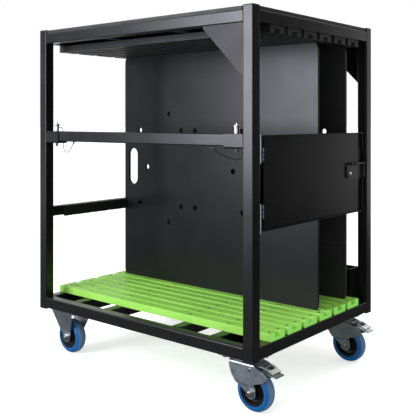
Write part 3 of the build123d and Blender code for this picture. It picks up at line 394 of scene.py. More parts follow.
def powder_coat(name, tone, shine, gloss, scuffs=0.24, squeeze=UPRIGHT_MARKS, shade_edge=None):
    """The coat. Where a shade edge is given, faces in front of that Y are painted dead black: painted
    shade.
    """
    coat = Finish(name)
    paler = tuple(value * WORN_TIMES for value in tone)
    worn = coat.worn_and_lit_edges(tone, paler, Radius=0.0012, Breakup=160.0, Amount=0.5)
    marks = coat.group(SCUFFS, Squeeze=squeeze, Coverage=scuffs)
    colour = coat.mix(coat.sum("MULTIPLY", marks, SCUFF_SHARE), worn, paler)
    # Painted shade: faces in front of the edge, where the near post shades the gate, become dead black
    # metal that mirrors nothing.
    if shade_edge is not None:
        painted_shade = coat.sum("LESS_THAN", coat.along("Y"), shade_edge)
        colour = coat.mix(painted_shade, colour, PAINTED_SHADE_BLACK)
        coat.give(Metallic=painted_shade)
    coat.give(Base_Color=colour, Specular_IOR_Level=gloss)
    coat.roughness(scale=14.0, limits=shine)
    coat.skin(depth=0.00008, strength=0.25, Grain=1100.0, Waves=70.0, Wave_share=0.6)
    return coat.material


gate_low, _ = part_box("gate_panel")
gate_shade_edge = gate_low[1] + PAINTED_SHADE_REACH
FRAME_PAINT = powder_coat("frame_paint", FRAME_TONE, shine=(0.28, 0.33), gloss=0.5)
GUSSET_PAINT = powder_coat("gusset_paint", FRAME_TONE, shine=(0.33, 0.39), gloss=0.27)
GATE_PAINT = powder_coat("gate_paint", FRAME_TONE, shine=(0.29, 0.34), gloss=0.24, shade_edge=gate_shade_edge)
LATCH_PAINT = powder_coat("latch_paint", LATCH_TONE, shine=(0.34, 0.42), gloss=0.4)
PLATE_PAINT = powder_coat("plate_paint", PLATE_TONE, (0.30, 0.34), 0.36, 0.30, SLIDE_MARKS)
OLDER_PAINT = powder_coat("older_plate_paint", OLDER_TONE, (0.40, 0.46), 0.4, 0.34, SLIDE_MARKS)
print("made", FRAME_PAINT.name, "and the other coats")

# %% [markdown]
# Lime plastic of the floor slats
# The slats are bars of bright lime plastic with a milled groove. The cutter leaves faint lines
# along the bar, and a little light goes into the plastic. The edges are painted paler and yellower,
# a painted highlight where the rounded edges catch the light. The end faces at the right are painted
# a brighter, purer green, a painted light, and are found from the place along the bar.

# %% Lime plastic
LIME_DEEP = (0.285, 0.625, 0.090)
LIME_PALE = (0.325, 0.675, 0.110)
# The edge colour is a painted highlight, where the slats' rounded edges catch the light.
LIME_EDGE_HIGHLIGHT = (0.56, 0.72, 0.20)
LIGHT_REACH = (0.6, 1.0, 0.2)
SLAT_ROUGHNESS = 0.40
MILLED_ROUGHER = 0.12
LIT_END_DEPTH = 0.3 * MM
LIT_END_GREEN = (0.27, 0.78, 0.125)


def lime_plastic():
    lime = Finish("slat_green")
    lime.give(Specular_IOR_Level=0.14, Subsurface_Weight=0.06, Subsurface_Scale=0.004)
    lime.give(Subsurface_Radius=LIGHT_REACH)
    _, slat_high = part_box("floor_slat_1")
    # The right end faces are painted a brighter, purer green: painted light that stands in for the light
    # falling on them.
    lit_end = lime.sum("GREATER_THAN", lime.along("X"), slat_high[0] - LIT_END_DEPTH)
    body = lime.drift(scale=9.0, dark=LIME_DEEP, pale=LIME_PALE)
    body = lime.mix(lit_end, body, LIT_END_GREEN)
    lime.give(Base_Color=lime.worn_and_lit_edges(body, LIME_EDGE_HIGHLIGHT, Radius=0.0020, Breakup=60.0, Amount=1.1))
    milled = lime.group(SCUFFS, Squeeze=(3.0, 900.0, 900.0), Coverage=0.52)
    lime.give(Roughness=lime.sum("MULTIPLY_ADD", milled, MILLED_ROUGHER, SLAT_ROUGHNESS))
    lime.bump(milled, depth=0.00008, strength=0.5)
    return lime.material


SLAT_GREEN = lime_plastic()
print("made", SLAT_GREEN.name)

# %% [markdown]
# Black plastic
# The roof slats, the comb at the left end and the post caps are the same kind of plastic in
# black. Moulded and sawn plastic is duller than the paint, and its skin is finer.

# %% Black plastic
PLASTIC_EDGE = (0.055, 0.055, 0.058)


def black_plastic():
    plastic = Finish("black_plastic")
    body = plastic.drift(scale=11.0, dark=(0.0065, 0.0065, 0.0070), pale=(0.0095, 0.0095, 0.0100))
    colour = plastic.worn_and_lit_edges(body, PLASTIC_EDGE, Radius=0.0012, Breakup=140.0, Amount=0.8)
    plastic.give(Base_Color=colour, Specular_IOR_Level=0.45)
    plastic.roughness(scale=30.0, limits=(0.46, 0.60))
    plastic.skin(depth=0.00008, strength=0.3, Grain=1600.0, Waves=90.0, Wave_share=0.3)
    return plastic.material


BLACK_PLASTIC = black_plastic()
print("made", BLACK_PLASTIC.name)

# %% [markdown]
# Film-faced deck board
# The deck is a thin board faced with a dark film. Such film is pressed with a fine wire pattern
# so that loads do not slip. Two waves at right angles give that pattern as a height, which is the
# larger of the two at each point.

# %% Deck board
DECK_SCUFF_SHARE = 0.3
DECK_SCUFF_TONE = (0.07, 0.068, 0.065)


def deck_board():
    board = Finish("deck_board")
    body = board.drift(scale=7.0, dark=(0.014, 0.0125, 0.012), pale=(0.022, 0.020, 0.019))
    marks = board.group(SCUFFS, Squeeze=(5.0, 110.0, 110.0), Coverage=0.36)
    colour = board.mix(board.sum("MULTIPLY", marks, DECK_SCUFF_SHARE), body, DECK_SCUFF_TONE)
    board.give(Base_Color=colour, Specular_IOR_Level=0.40)
    board.roughness(scale=24.0, limits=(0.42, 0.58))
    wires = []
    for way in ("X", "Y"):
        wave = board.node("ShaderNodeTexWave", {"bands_direction": way}, Vector=board.place, Scale=62.0)
        wires.append(wave.outputs["Fac"])
    board.bump(board.sum("MAXIMUM", *wires), depth=0.0003, strength=0.6)
    return board.material


DECK_BOARD = deck_board()
print("made", DECK_BOARD.name)

# %% [markdown]
# Zinc plate and bright steel
# Caster forks and small fasteners are zinc plated: a pale, slightly blue metal whose shine is
# broken by the pressed sheet below it. The brake pedals are paler and duller, the turned pins and
# the axles are bright, the rivet of the latch is a little warm, and the slat screws are given a
# dark tone. All are full metals, and their light and dark come from what they mirror.

# %% Metals
def plated_metal(name, dark, pale, shine, grain, depth):
    metal = Finish(name)
    metal.give(Metallic=1.0, Base_Color=metal.drift(scale=38.0, dark=dark, pale=pale))
    metal.roughness(scale=85.0, limits=shine)
    metal.skin(depth, strength=0.25, Grain=grain, Waves=140.0, Wave_share=1.2)
    return metal.material


ZINC_TONES = ((0.52, 0.58, 0.64), (0.68, 0.74, 0.80))
PEDAL_TONES = ((0.68, 0.72, 0.70), (0.86, 0.90, 0.88))
STEEL_TONES = ((0.54, 0.55, 0.56), (0.70, 0.70, 0.70))
RIVET_TONES = ((0.70, 0.64, 0.52), (0.84, 0.79, 0.66))
SCREW_TONES = ((0.11, 0.12, 0.11), (0.19, 0.20, 0.19))
ZINC = plated_metal("zinc", *ZINC_TONES, (0.28, 0.38), grain=700.0, depth=0.00006)
PEDAL_STEEL = plated_metal("pedal_steel", *PEDAL_TONES, (0.34, 0.46), grain=700.0, depth=0.00006)
BRIGHT_STEEL = plated_metal("bright_steel", *STEEL_TONES, (0.16, 0.26), grain=1200.0, depth=0.00004)
WARM_RIVET = plated_metal("warm_rivet", *RIVET_TONES, (0.22, 0.34), grain=900.0, depth=0.00010)
DARK_SCREW = plated_metal("dark_screw", *SCREW_TONES, (0.30, 0.44), grain=900.0, depth=0.00006)
print("made", ZINC.name, "and the other metals")

# %% [markdown]
# Hinges
# The hinges came zinc plated, and were painted over with the gate once they were welded on. Only
# the front of the round knuckles, the side that faces the lamp, is left bare: real bare zinc, kept
# to the lit front as a painted highlight. How far a point is from the hinge's axis, and how far in
# front of it, tells the two apart, so one mask can drive both the colour and the metal.

# %% Hinge metal
KNUCKLE_RADIUS = 3.5 * MM
KNUCKLE_BARE = 0.1 * MM
KNUCKLE_FADE = 0.4 * MM
KNUCKLE_LIT_FRONT = -2.0 * MM


def hinge_metal():
    low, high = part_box("gate_hinge_leaves")
    axis = (high[0] - KNUCKLE_RADIUS, low[1] + KNUCKLE_RADIUS, 0.0)
    hinge = Finish("hinge_metal")
    flat = hinge.moved(axis, (1.0, 1.0, 0.0))
    reach = hinge.sum("LENGTH", flat, kind=VECTOR_MATH)
    bare = hinge.ramp(reach, KNUCKLE_RADIUS + KNUCKLE_FADE, KNUCKLE_RADIUS + KNUCKLE_BARE)
    # Keeping the bare zinc to the front of the knuckles, the side that faces the lamp, is a painted
    # highlight.
    lamp_side = hinge.sum("LESS_THAN", hinge.along("Y", flat), KNUCKLE_LIT_FRONT)
    lit_bare_zinc = hinge.sum("MULTIPLY", bare, lamp_side)
    plating = hinge.drift(scale=60.0, dark=(0.50, 0.53, 0.57), pale=(0.72, 0.74, 0.77))
    hinge.give(Base_Color=hinge.mix(lit_bare_zinc, FRAME_TONE, plating), Metallic=lit_bare_zinc)
    hinge.roughness(scale=85.0, limits=(0.26, 0.36))
    hinge.skin(depth=0.00008, strength=0.3, Grain=900.0, Waves=140.0, Wave_share=0.8)
    return hinge.material


HINGE_METAL = hinge_metal()
print("made", HINGE_METAL.name)

# %% [markdown]
# Wheels
# Each wheel has a black nylon centre and a blue elastic tyre. The tread is greyer than the side
# walls because it picks up the floor. The tread is found from the distance to the wheel's own
# middle plane, and a dark ring on the side wall, painted shade for a moulded groove, from the
# distance to the axle, so each wheel has a copy of the finish that is centred on it.

# %% Wheel finishes
TREAD_HALF = 11.0 * MM
TREAD_FADE = 2.0 * MM
RING_RADIUS = 41.5 * MM
RING_HALF = 0.9 * MM
GROOVE_SHADE_BLUE = (0.001, 0.030, 0.115)
WALL_ROUGHNESS = 0.30
TREAD_ROUGHER = 0.34
NYLON_EDGE = (0.07, 0.07, 0.07)


def rim_nylon():
    nylon = Finish("rim_black")
    body = nylon.drift(scale=60.0, dark=(0.004, 0.004, 0.004), pale=(0.008, 0.008, 0.0085))
    colour = nylon.worn_and_lit_edges(body, NYLON_EDGE, Radius=0.0008, Breakup=240.0, Amount=0.6)
    nylon.give(Base_Color=colour, Specular_IOR_Level=0.36)
    nylon.roughness(scale=90.0, limits=(0.30, 0.44))
    nylon.skin(depth=0.00006, strength=0.3, Grain=1500.0, Waves=160.0, Wave_share=0.4)
    return nylon.material


def middle_of(node):
    low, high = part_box(node)
    return [(a + b) / 2 for a, b in zip(low, high)]


def tyre_rubber(wheel):
    centre = middle_of("tyre_" + wheel)
    rubber = Finish("tyre_blue_" + wheel)
    aside = rubber.sum("ABSOLUTE", rubber.along("Y", rubber.moved(centre)))
    tread = rubber.ramp(aside, TREAD_HALF + TREAD_FADE, TREAD_HALF)
    from_axle = rubber.sum("LENGTH", rubber.moved(centre, (1.0, 0.0, 1.0)), kind=VECTOR_MATH)
    from_ring = rubber.sum("ABSOLUTE", rubber.sum("SUBTRACT", from_axle, RING_RADIUS))
    # The dark ring is painted shade, standing in for a moulded groove on the side wall.
    ring = rubber.ramp(from_ring, RING_HALF, 0.0, {"interpolation_type": "SMOOTHSTEP"})
    wall = rubber.drift(scale=45.0, dark=(0.0005, 0.090, 0.275), pale=(0.001, 0.106, 0.315))
    dusty = rubber.drift(scale=110.0, dark=(0.085, 0.150, 0.245), pale=(0.115, 0.185, 0.285))
    colour = rubber.mix(tread, rubber.mix(ring, wall, GROOVE_SHADE_BLUE), dusty)
    rubber.give(Base_Color=colour, Specular_IOR_Level=0.36)
    rubber.give(Roughness=rubber.sum("MULTIPLY_ADD", tread, TREAD_ROUGHER, WALL_ROUGHNESS))
    rubber.skin(depth=0.0001, strength=0.4, Grain=1300.0, Waves=150.0, Wave_share=0.4)
    return rubber.material


WHEELS = ("front_left", "rear_left", "front_right", "rear_right")
RIM_BLACK = rim_nylon()
TYRE_BLUE = {"tyre_" + wheel: tyre_rubber(wheel) for wheel in WHEELS}
print("made", RIM_BLACK.name, "and", len(TYRE_BLUE), "tyre finishes")

# %% [markdown]
# Dressing the CAD nodes
# A node keeps its mesh, and only its material slot is filled. The table below says which nodes
# take each finish, by the start of their names. The longest start that fits counts, and a node
# that is in no row stops the script, so none can be forgotten.

# %% Dress the CAD nodes
FRAME_STARTS = ("post_", "bottom_rail_", "top_rail_", "cross_bearers", "left_rail", "bar_saddles")
DRESSED = (
    (FRAME_PAINT, (*FRAME_STARTS, "caster_mount_plates", "parts_bin", "front_bar")),
    (GUSSET_PAINT, ("gussets",)),
    (GATE_PAINT, ("gate_panel",)),
    (LATCH_PAINT, ("latch_plate", "latch_bolt")),
    (PLATE_PAINT, ("base_plate_front",)),
    (OLDER_PAINT, ("base_plate_rear",)),
    (BLACK_PLASTIC, ("post_caps", "roof_slats", "left_comb", "lanyard_")),
    (SLAT_GREEN, ("floor_slat_",)),
    (DECK_BOARD, ("deck_panel",)),
    (DARK_SCREW, ("slat_screws",)),
    (WARM_RIVET, ("latch_rivet",)),
    (HINGE_METAL, ("hinge_pintles", "gate_hinge_leaves")),
    (ZINC, ("caster_fixings", "fixed_brackets", "swivel_heads", "fork_")),
    (BRIGHT_STEEL, ("fixed_axles", "fork_axle_", "pin_")),
    (PEDAL_STEEL, ("brake_pedal_",)),
    (RIM_BLACK, ("rim_",)),
)


def dress_all():
    finish_of = {start: finish for finish, starts in DRESSED for start in starts}
    finish_of.update(TYRE_BLUE)
    for name, node in nodes.items():
        start = max((key for key in finish_of if name.startswith(key)), key=len)
        node.data.materials.clear()
        node.data.materials.append(finish_of[start])


dress_all()
print("dressed", len(nodes), "nodes")

# %% [markdown]
# Wire lanyards
# A pin that is drawn out would soon be lost, so a coated wire ties it to the bar. The wire is
# springy: it leaves the pin to the rear, drops behind the saddle, and sweeps forward and inward
# to a tab under the bar. A NURBS curve is the natural tool, because its control points pull the
# line along without kinks. Its evaluated points then carry a plain mesh tube.

# %% Route of the wire
WIRE_DIAMETER = 2.0 * MM
WIRE_SIDES = 12
ROUTE_STEPS = 10
ROUTE_ORDER = 3
# Millimetres along X away from the middle, to the rear, and up, from where the pin's axis meets
# the underside of the bar.
LANYARD_WAY = (
    (0.0, 7.0, 40.0),
    (0.5, 16.0, 42.5),
    (2.5, 23.8, 38.0),
    (4.5, 27.5, 27.0),
    (5.5, 28.5, 11.0),
    (5.5, 28.2, -5.0),
    (3.0, 27.0, -19.0),
    (-4.0, 25.0, -29.5),
    (-16.0, 22.8, -34.2),
    (-31.0, 20.5, -32.0),
    (-47.0, 12.5, -26.0),
    (-62.5, 5.0, -17.0),
    (-74.0, 1.0, -7.5),
)


def lanyard_points(sign, pin):
    axis_x, axis_y, _ = middle_of(pin)
    bar_low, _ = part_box("front_bar")
    start = Vector((axis_x, axis_y, bar_low[2]))
    return [start + Vector((sign * x, y, z)) * MM for x, y, z in LANYARD_WAY]


def evaluated_mesh(piece):
    """A plain mesh of what a curve or a modifier makes."""
    bpy.context.view_layer.update()
    return bpy.data.meshes.new_from_object(piece.evaluated_get(bpy.context.evaluated_depsgraph_get()))


def smooth_route(points):
    """The points of a NURBS line that has the given control points."""
    curve = bpy.data.curves.new("lanyard_route", "CURVE")
    curve.dimensions = "3D"
    curve.resolution_u = ROUTE_STEPS
    spline = curve.splines.new("NURBS")
    spline.points.add(len(points) - 1)
    for control, point in zip(spline.points, points):
        control.co = (*point, 1.0)
    spline.order_u = ROUTE_ORDER
    spline.use_endpoint_u = True
    route = add_object("lanyard_route", curve)
    line = evaluated_mesh(route)
    path = [vertex.co.copy() for vertex in line.vertices]
    bpy.data.meshes.remove(line)
    bpy.data.objects.remove(route)
    bpy.data.curves.remove(curve)
    return path


routes = {}
for sign, side in ((-1, "left"), (1, "right")):
    routes[side] = smooth_route(lanyard_points(sign, "pin_" + side))
    length = sum((after - before).length for before, after in zip(routes[side], routes[side][1:]))
    print(side, "lanyard", len(routes[side]), "points, length", round(length, 4))

# %% [markdown]
# Rings and the faces between them
# A tube and a turned part are made in the same way: rings of vertices, one after the other, and
# faces from each ring to the next. A ring may also be one point, named as often as the other
# rings have vertices, and the faces there become triangles.

# %% Rings, faces and meshes
SAME_POINT = 1e-7


def ring_of(form, middle, axes, radius, count):
    ring = []
    for step in range(count):
        angle = math.tau * step / count
        reach = axes[0] * math.cos(angle) + axes[1] * math.sin(angle)
        ring.append(form.verts.new(middle + reach * radius))
    return ring


def bridge(form, near, far):
    for step in range(len(near)):
        other = (step + 1) % len(near)
        corners = [near[step], near[other], far[other], far[step]]
        form.faces.new(list(dict.fromkeys(corners)))


def finish_mesh(name, form, material, sharp_angle):
    """Turn a bmesh into an object with closed, outward faces and smooth shading."""
    bmesh.ops.remove_doubles(form, verts=form.verts, dist=SAME_POINT)
    bmesh.ops.recalc_face_normals(form, faces=form.faces)
    mesh = bpy.data.meshes.new(name)
    form.to_mesh(mesh)
    form.free()
    mesh.shade_smooth()
    mesh.set_sharp_from_angle(angle=math.radians(sharp_angle))
    mesh.materials.append(material)
    return add_object(name, mesh)


print("mesh helpers ready")

# %% [markdown]
# A tube along the route
# Each point of the route gets a ring of vertices, square to the line. The ring's own axes are
# carried from one point to the next, turned only as much as the line turns, so the tube does not
# twist. Two attributes, the distance along and the way round, let the finish wind its strands.

# %% Tube along a path
def ring_axes(path):
    """A pair of axes square to the path at each of its points, with no twist between them."""
    earlier = [path[0], *path]
    later = [*path[1:], path[-1]]
    tangents = [(after - before).normalized() for before, after in zip(earlier, later)]
    side = tangents[0].orthogonal().normalized()
    axes = []
    for tangent in tangents:
        side = (side - tangent * side.dot(tangent)).normalized()
        axes.append((side, tangent.cross(side)))
    return axes


def tube(name, path, diameter, sides, material):
    rings = []
    form = bmesh.new()
    along = form.verts.layers.float.new("along")
    around = form.verts.layers.float.new("around")
    distance = 0.0
    for before, point, axes in zip([path[0], *path], path, ring_axes(path)):
        distance += (point - before).length
        rings.append(ring_of(form, point, axes, diameter / 2, sides))
        for step, vertex in enumerate(rings[-1]):
            vertex[along] = distance
            vertex[around] = math.tau * step / sides
    for near, far in zip(rings, rings[1:]):
        bridge(form, near, far)
    form.faces.new(rings[0])
    form.faces.new(rings[-1])
    return finish_mesh(name, form, material, sharp_angle=60.0)


print("tube helper ready")

# %% [markdown]
# The wire's coat
# Under the black coat the strands of the wire rope still show as a fine winding. The winding is a
# sine of the distance along and the way round, both read from the tube's own attributes. It gives
# a bump, and a colour that is darker in the valleys and paler on the crowns: painted shade and
# painted highlight.

# %% Wire coat
STRANDS = 6
LAY_LENGTH = 11.0 * MM
VALLEY_SHADE_TONE = (0.002, 0.002, 0.002)
CROWN_HIGHLIGHT_TONE = (0.007, 0.007, 0.007)


def wire_coat():
    coat = Finish("wire_coat")
    along = coat.node("ShaderNodeAttribute", {"attribute_name": "along"}).outputs["Fac"]
    around = coat.node("ShaderNodeAttribute", {"attribute_name": "around"}).outputs["Fac"]
    turns = coat.sum("MULTIPLY", along, STRANDS * math.tau / LAY_LENGTH)
    winding = coat.sum("SINE", coat.sum("MULTIPLY_ADD", around, float(STRANDS), turns))
    height = coat.sum("MULTIPLY_ADD", winding, 0.5, 0.5)
    # Darker valleys and paler crowns are painted shade and painted highlight.
    colour = coat.mix(height, VALLEY_SHADE_TONE, CROWN_HIGHLIGHT_TONE)
    coat.give(Base_Color=colour, Specular_IOR_Level=0.22)
    coat.roughness(scale=200.0, limits=(0.24, 0.36))
    coat.bump(height, depth=0.00025, strength=0.7)
    return coat.material


WIRE_COAT = wire_coat()
lanyards = {}
for side, path in routes.items():
    lanyards[side] = tube("wire_" + side, path, WIRE_DIAMETER, WIRE_SIDES, WIRE_COAT)
print("tubes with", [len(piece.data.polygons) for piece in lanyards.values()], "faces")

# %% [markdown]
# Turned shapes
# Pins, ferrules, tabs and wheel centres are all turned: one outline, spun about an axis. The helper
# takes the outline as pairs of radius and distance along the axis. A radius of zero closes the
# shape with a single point, and a closed outline makes a ring with a bore.

# %% A lathe
def lathe(name, outline, origin, axis, segments, material, ring=False, sharp_angle=32.0):
    axis = Vector(axis).normalized()
    first = axis.orthogonal().normalized()
    axes = (first, axis.cross(first))
    form = bmesh.new()
    loops = []
    for radius, distance in outline:
        middle = Vector(origin) + axis * distance
        if radius == 0:
            loops.append([form.verts.new(middle)] * segments)
        else:
            loops.append(ring_of(form, middle, axes, radius, segments))
    if ring:
        loops.append(loops[0])
    for near, far in zip(loops, loops[1:]):
        bridge(form, near, far)
    return finish_mesh(name, form, material, sharp_angle)


print("lathe ready")

# %% [markdown]
# Ends of the lanyards
# At the bar the wire is gripped by a crimped ferrule, and the ferrule by a round tab that is
# riveted under the bar. Two dents run round the ferrule where the crimping tool bit.

# %% Ferrules and tabs
FERRULE_RADIUS = 2.0 * MM
FERRULE_SEGMENTS = 20
TAB_RADIUS = 4.5 * MM
TAB_THICK = 2.0 * MM
TAB_EDGE = 0.5 * MM
TAB_SEGMENTS = 24
RIVET_RADIUS = 2.2 * MM
RIVET_RISE = 0.9 * MM
# Shares of the ferrule's radius and of its length
FERRULE_OUTLINE = (
    (0.0, 0.0), (0.9, 0.0), (1.0, 0.05), (1.0, 0.25), (0.8, 0.32), (0.8, 0.40), (1.0, 0.47),
    (1.0, 0.60), (0.8, 0.67), (0.8, 0.75), (1.0, 0.82), (1.0, 1.0), (0.0, 1.0),
)
TAB_OUTLINE = (
    (0.0, 0.0),
    (TAB_RADIUS, 0.0),
    (TAB_RADIUS, TAB_THICK - TAB_EDGE),
    (TAB_RADIUS - TAB_EDGE, TAB_THICK),
    (RIVET_RADIUS, TAB_THICK),
    (RIVET_RADIUS * 0.86, TAB_THICK + RIVET_RISE * 0.6),
    (RIVET_RADIUS * 0.45, TAB_THICK + RIVET_RISE),
    (0.0, TAB_THICK + RIVET_RISE),
)


def lanyard_end(side, path):
    """The ferrule along the wire's last run, and the tab where that run meets the bar."""
    bar_low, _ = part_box("front_bar")
    heading = (path[-1] - path[-2]).normalized()
    reach = (bar_low[2] - TAB_THICK / 2 - path[-1].z) / heading.z
    sleeve = [(radius * FERRULE_RADIUS, share * reach) for radius, share in FERRULE_OUTLINE]
    ferrule = lathe("ferrule_" + side, sleeve, path[-1], heading, FERRULE_SEGMENTS, DARK_SCREW)
    tab_point = path[-1] + heading * reach
    tab_top = Vector((tab_point.x, tab_point.y, bar_low[2]))
    tab = lathe("wire_tab_" + side, TAB_OUTLINE, tab_top, (0, 0, -1), TAB_SEGMENTS, DARK_SCREW)
    return [ferrule, tab]


lanyard_ends = {side: lanyard_end(side, path) for side, path in routes.items()}
print("lanyard ends", [piece.name for pair in lanyard_ends.values() for piece in pair])

# %% [markdown]
# Tying the lanyard ends to the bar
# The ferrule and the tab of each wire go with the bar. The wire's mesh is baked in place, and it
# stands for its CAD solid, which is hidden. A height at the pin's body is worked out, but nothing
# uses it.

BLEND_END_RISE = 39.0 * MM


def tie_lanyard(side):
    piece = lanyards[side]
    path = routes[side]
    ends = lanyard_ends[side]
    bar_low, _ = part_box("front_bar")
    for end in ends:
        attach(end, "front_bar")
    end = (path[0].x, path[0].y, bar_low[2] + BLEND_END_RISE)
    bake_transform(piece)
    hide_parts("lanyard_" + side)


for side in routes:
    tie_lanyard(side)

# %% [markdown]
# Geometry Nodes: growing what repeats
# Screws and weld beads repeat many times, so node trees grow them. A tree has named inputs for its
# sizes. It sits on a seed mesh as a modifier, its inputs are set by their identifiers, and the
# evaluated result is kept as a plain mesh, because an export knows nothing of node trees.

# %% Helpers for geometry trees
class Grower(Group):
    """A geometry tree in the making, with inputs for its seed, its sizes and its finish."""

    def __init__(self, name, **sizes):
        inputs = {"Geometry": "NodeSocketGeometry", **sizes, "Material": "NodeSocketMaterial"}
        super().__init__("GeometryNodeTree", name, inputs, "NodeSocketGeometry")

    def upwards(self, height):
        return self.add("ShaderNodeCombineXYZ", Z=height)

    def chance(self, low, high):
        limits = {"Min": low, "Max": high, "Seed": self.given["Seed"]}
        return self.add("FunctionNodeRandomValue", {"data_type": "FLOAT"}, **limits)

    def end(self, geometry):
        """Make the result plain, give it its finish and close the tree."""
        plain = self.add("GeometryNodeRealizeInstances", Geometry=geometry)
        material = self.given["Material"]
        return super().end(self.add("GeometryNodeSetMaterial", Geometry=plain, Material=material))


def grow(name, seed_mesh, tree, values):
    """Run a tree once over a seed mesh, and keep what it made as a plain mesh."""
    piece = add_object(name, seed_mesh)
    modifier = piece.modifiers.new("tree", "NODES")
    modifier.node_group = tree
    for item in tree.interface.items_tree:
        if item.in_out == "INPUT" and item.name in values:
            modifier[item.identifier] = values[item.name]
    grown = evaluated_mesh(piece)
    piece.modifiers.remove(modifier)
    piece.data = grown
    bpy.data.meshes.remove(seed_mesh)
    return piece


print("geometry helpers ready")

# %% [markdown]
# Cross-head screws
# Every slat is held by countersunk screws, two at each rail or bearer. One screw is a cone with a
# cross cut out of its head, on a plain shank. The tree makes it once, puts a copy on each point
# of the seed mesh, and turns each copy by a random angle, as a fitter would leave them.

# %% The screw tree
HEAD_SIZES = {"Head_radius": 0.004, "Head_height": 0.0026, "Shank_radius": 0.002, "Length": 0.026}
CROSS_SIZES = {"Cross_width": 0.0048, "Cross_slot": 0.0010, "Cross_depth": 0.0034}
HEAD_SIDES = 16
SHANK_SIDES = 8


def screw_tree():
    plan = Grower("cross_head_screws", **HEAD_SIZES, **CROSS_SIZES, Seed=7)
    given = plan.given
    height = given["Head height"]
    cone = plan.add("GeometryNodeMeshCone", Vertices=HEAD_SIDES, Radius_Top=given["Head radius"],
                    Radius_Bottom=given["Shank radius"], Depth=height)
    drop = plan.upwards(plan.sum("MULTIPLY", height, -1.0))
    head = plan.add("GeometryNodeTransform", Geometry=cone, Translation=drop)
    slot_size = plan.add("ShaderNodeCombineXYZ", X=given["Cross width"], Y=given["Cross slot"],
                         Z=given["Cross depth"])
    slot = plan.add("GeometryNodeMeshCube", Size=slot_size)
    turned = plan.add("GeometryNodeTransform", Geometry=slot, Rotation=(0.0, 0.0, math.pi / 2))
    cut = plan.add("GeometryNodeMeshBoolean", {"operation": "DIFFERENCE", "solver": "EXACT"},
                   Mesh_1=head, Mesh_2=[slot, turned])
    shank_length = plan.sum("SUBTRACT", given["Length"], height)
    shank = plan.add("GeometryNodeMeshCylinder", Vertices=SHANK_SIDES, Radius=given["Shank radius"],
                     Depth=shank_length)
    shank_drop = plan.sum("ADD", height, plan.sum("MULTIPLY", shank_length, 0.5))
    lowered = plan.add("GeometryNodeTransform", Geometry=shank,
                       Translation=plan.upwards(plan.sum("MULTIPLY", shank_drop, -1.0)))
    screw = plan.add("GeometryNodeJoinGeometry", Geometry=[cut, lowered])
    downward = plan.add("GeometryNodeInputNamedAttribute", {"data_type": "FLOAT"}, Name="downward")
    turn = plan.add("ShaderNodeCombineXYZ", X=plan.sum("MULTIPLY", downward, math.pi),
                    Z=plan.chance(0.0, math.pi / 2))
    return plan.end(plan.add("GeometryNodeInstanceOnPoints", Points=given["Geometry"],
                             Instance=screw, Rotation=turn))


SCREW_TREE = screw_tree()
print("screw tree with", len(SCREW_TREE.nodes), "nodes")

# %% [markdown]
# Where the screws go
# The floor slats are screwed to both end rails and to four bearers, the roof slats to both end
# rails and to two bearers. The points are worked out from the slats' own boxes, and the box of
# all the screws must then agree with the CAD node that they stand for.

# %% Screws on the slats
FLOOR_SCREW_X = (0.131, 0.261, 0.385)
ROOF_SCREW_X = (0.131, 0.385)
SCREW_FROM_GROOVE = 18.75 * MM
SLAT_COUNT = 6


def screw_points():
    points = []
    _, floor_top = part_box("floor_slat_1")
    roof_low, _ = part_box("roof_slats")
    for index in range(SLAT_COUNT):
        _, middle, _ = middle_of("floor_slat_%d" % (index + 1))
        for y in (middle - SCREW_FROM_GROOVE, middle + SCREW_FROM_GROOVE):
            for side in (-1, 1):
                points += [(FRAME_MIDDLE + side * x, y, floor_top[2], 0.0) for x in FLOOR_SCREW_X]
                points += [(FRAME_MIDDLE + side * x, y, roof_low[2], 1.0) for x in ROOF_SCREW_X]
    return points


def slat_screws():
    points = screw_points()
    seed_mesh = bpy.data.meshes.new("screw_points")
    seed_mesh.from_pydata([point[:3] for point in points], [], [])
    downward = seed_mesh.attributes.new("downward", "FLOAT", "POINT")
    downward.data.foreach_set("value", [point[3] for point in points])
    piece = grow("cross_head_screws", seed_mesh, SCREW_TREE, {"Seed": 11, "Material": DARK_SCREW})
    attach(piece, "chassis")
    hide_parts("slat_screws")
    return piece


def box_of(piece):
    corners = np.array([vertex.co for vertex in piece.data.vertices])
    return corners.min(axis=0), corners.max(axis=0)


screws = slat_screws()
off = [np.abs(a - np.array(b)).max() for a, b in zip(box_of(screws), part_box("slat_screws"))]
print("screws with", len(screws.data.polygons), "faces, box off by", round(max(off) * 1000, 3), "mm")

# %% [markdown]
# Weld beads
# The tubes are welded where a rail meets a post. A bead is a rippled worm of metal, laid drop by
# drop along the joint and then painted over with the rest. Each joint is one edge of the seed
# mesh. The tree turns the edges into curves, and sweeps a small circle along them whose size
# swells and shrinks with the distance, with a little chance in it.

# %% The bead tree
BEAD_SIZES = {"Bead_radius": 0.0018, "Ripple": 0.14, "Ripple_pitch": 0.0026, "Step": 0.0009, "Seed": 3}
BEAD_SIDES = 7
UNEVEN = 0.06
END_SHARE = 0.07
END_SIZE = 0.35


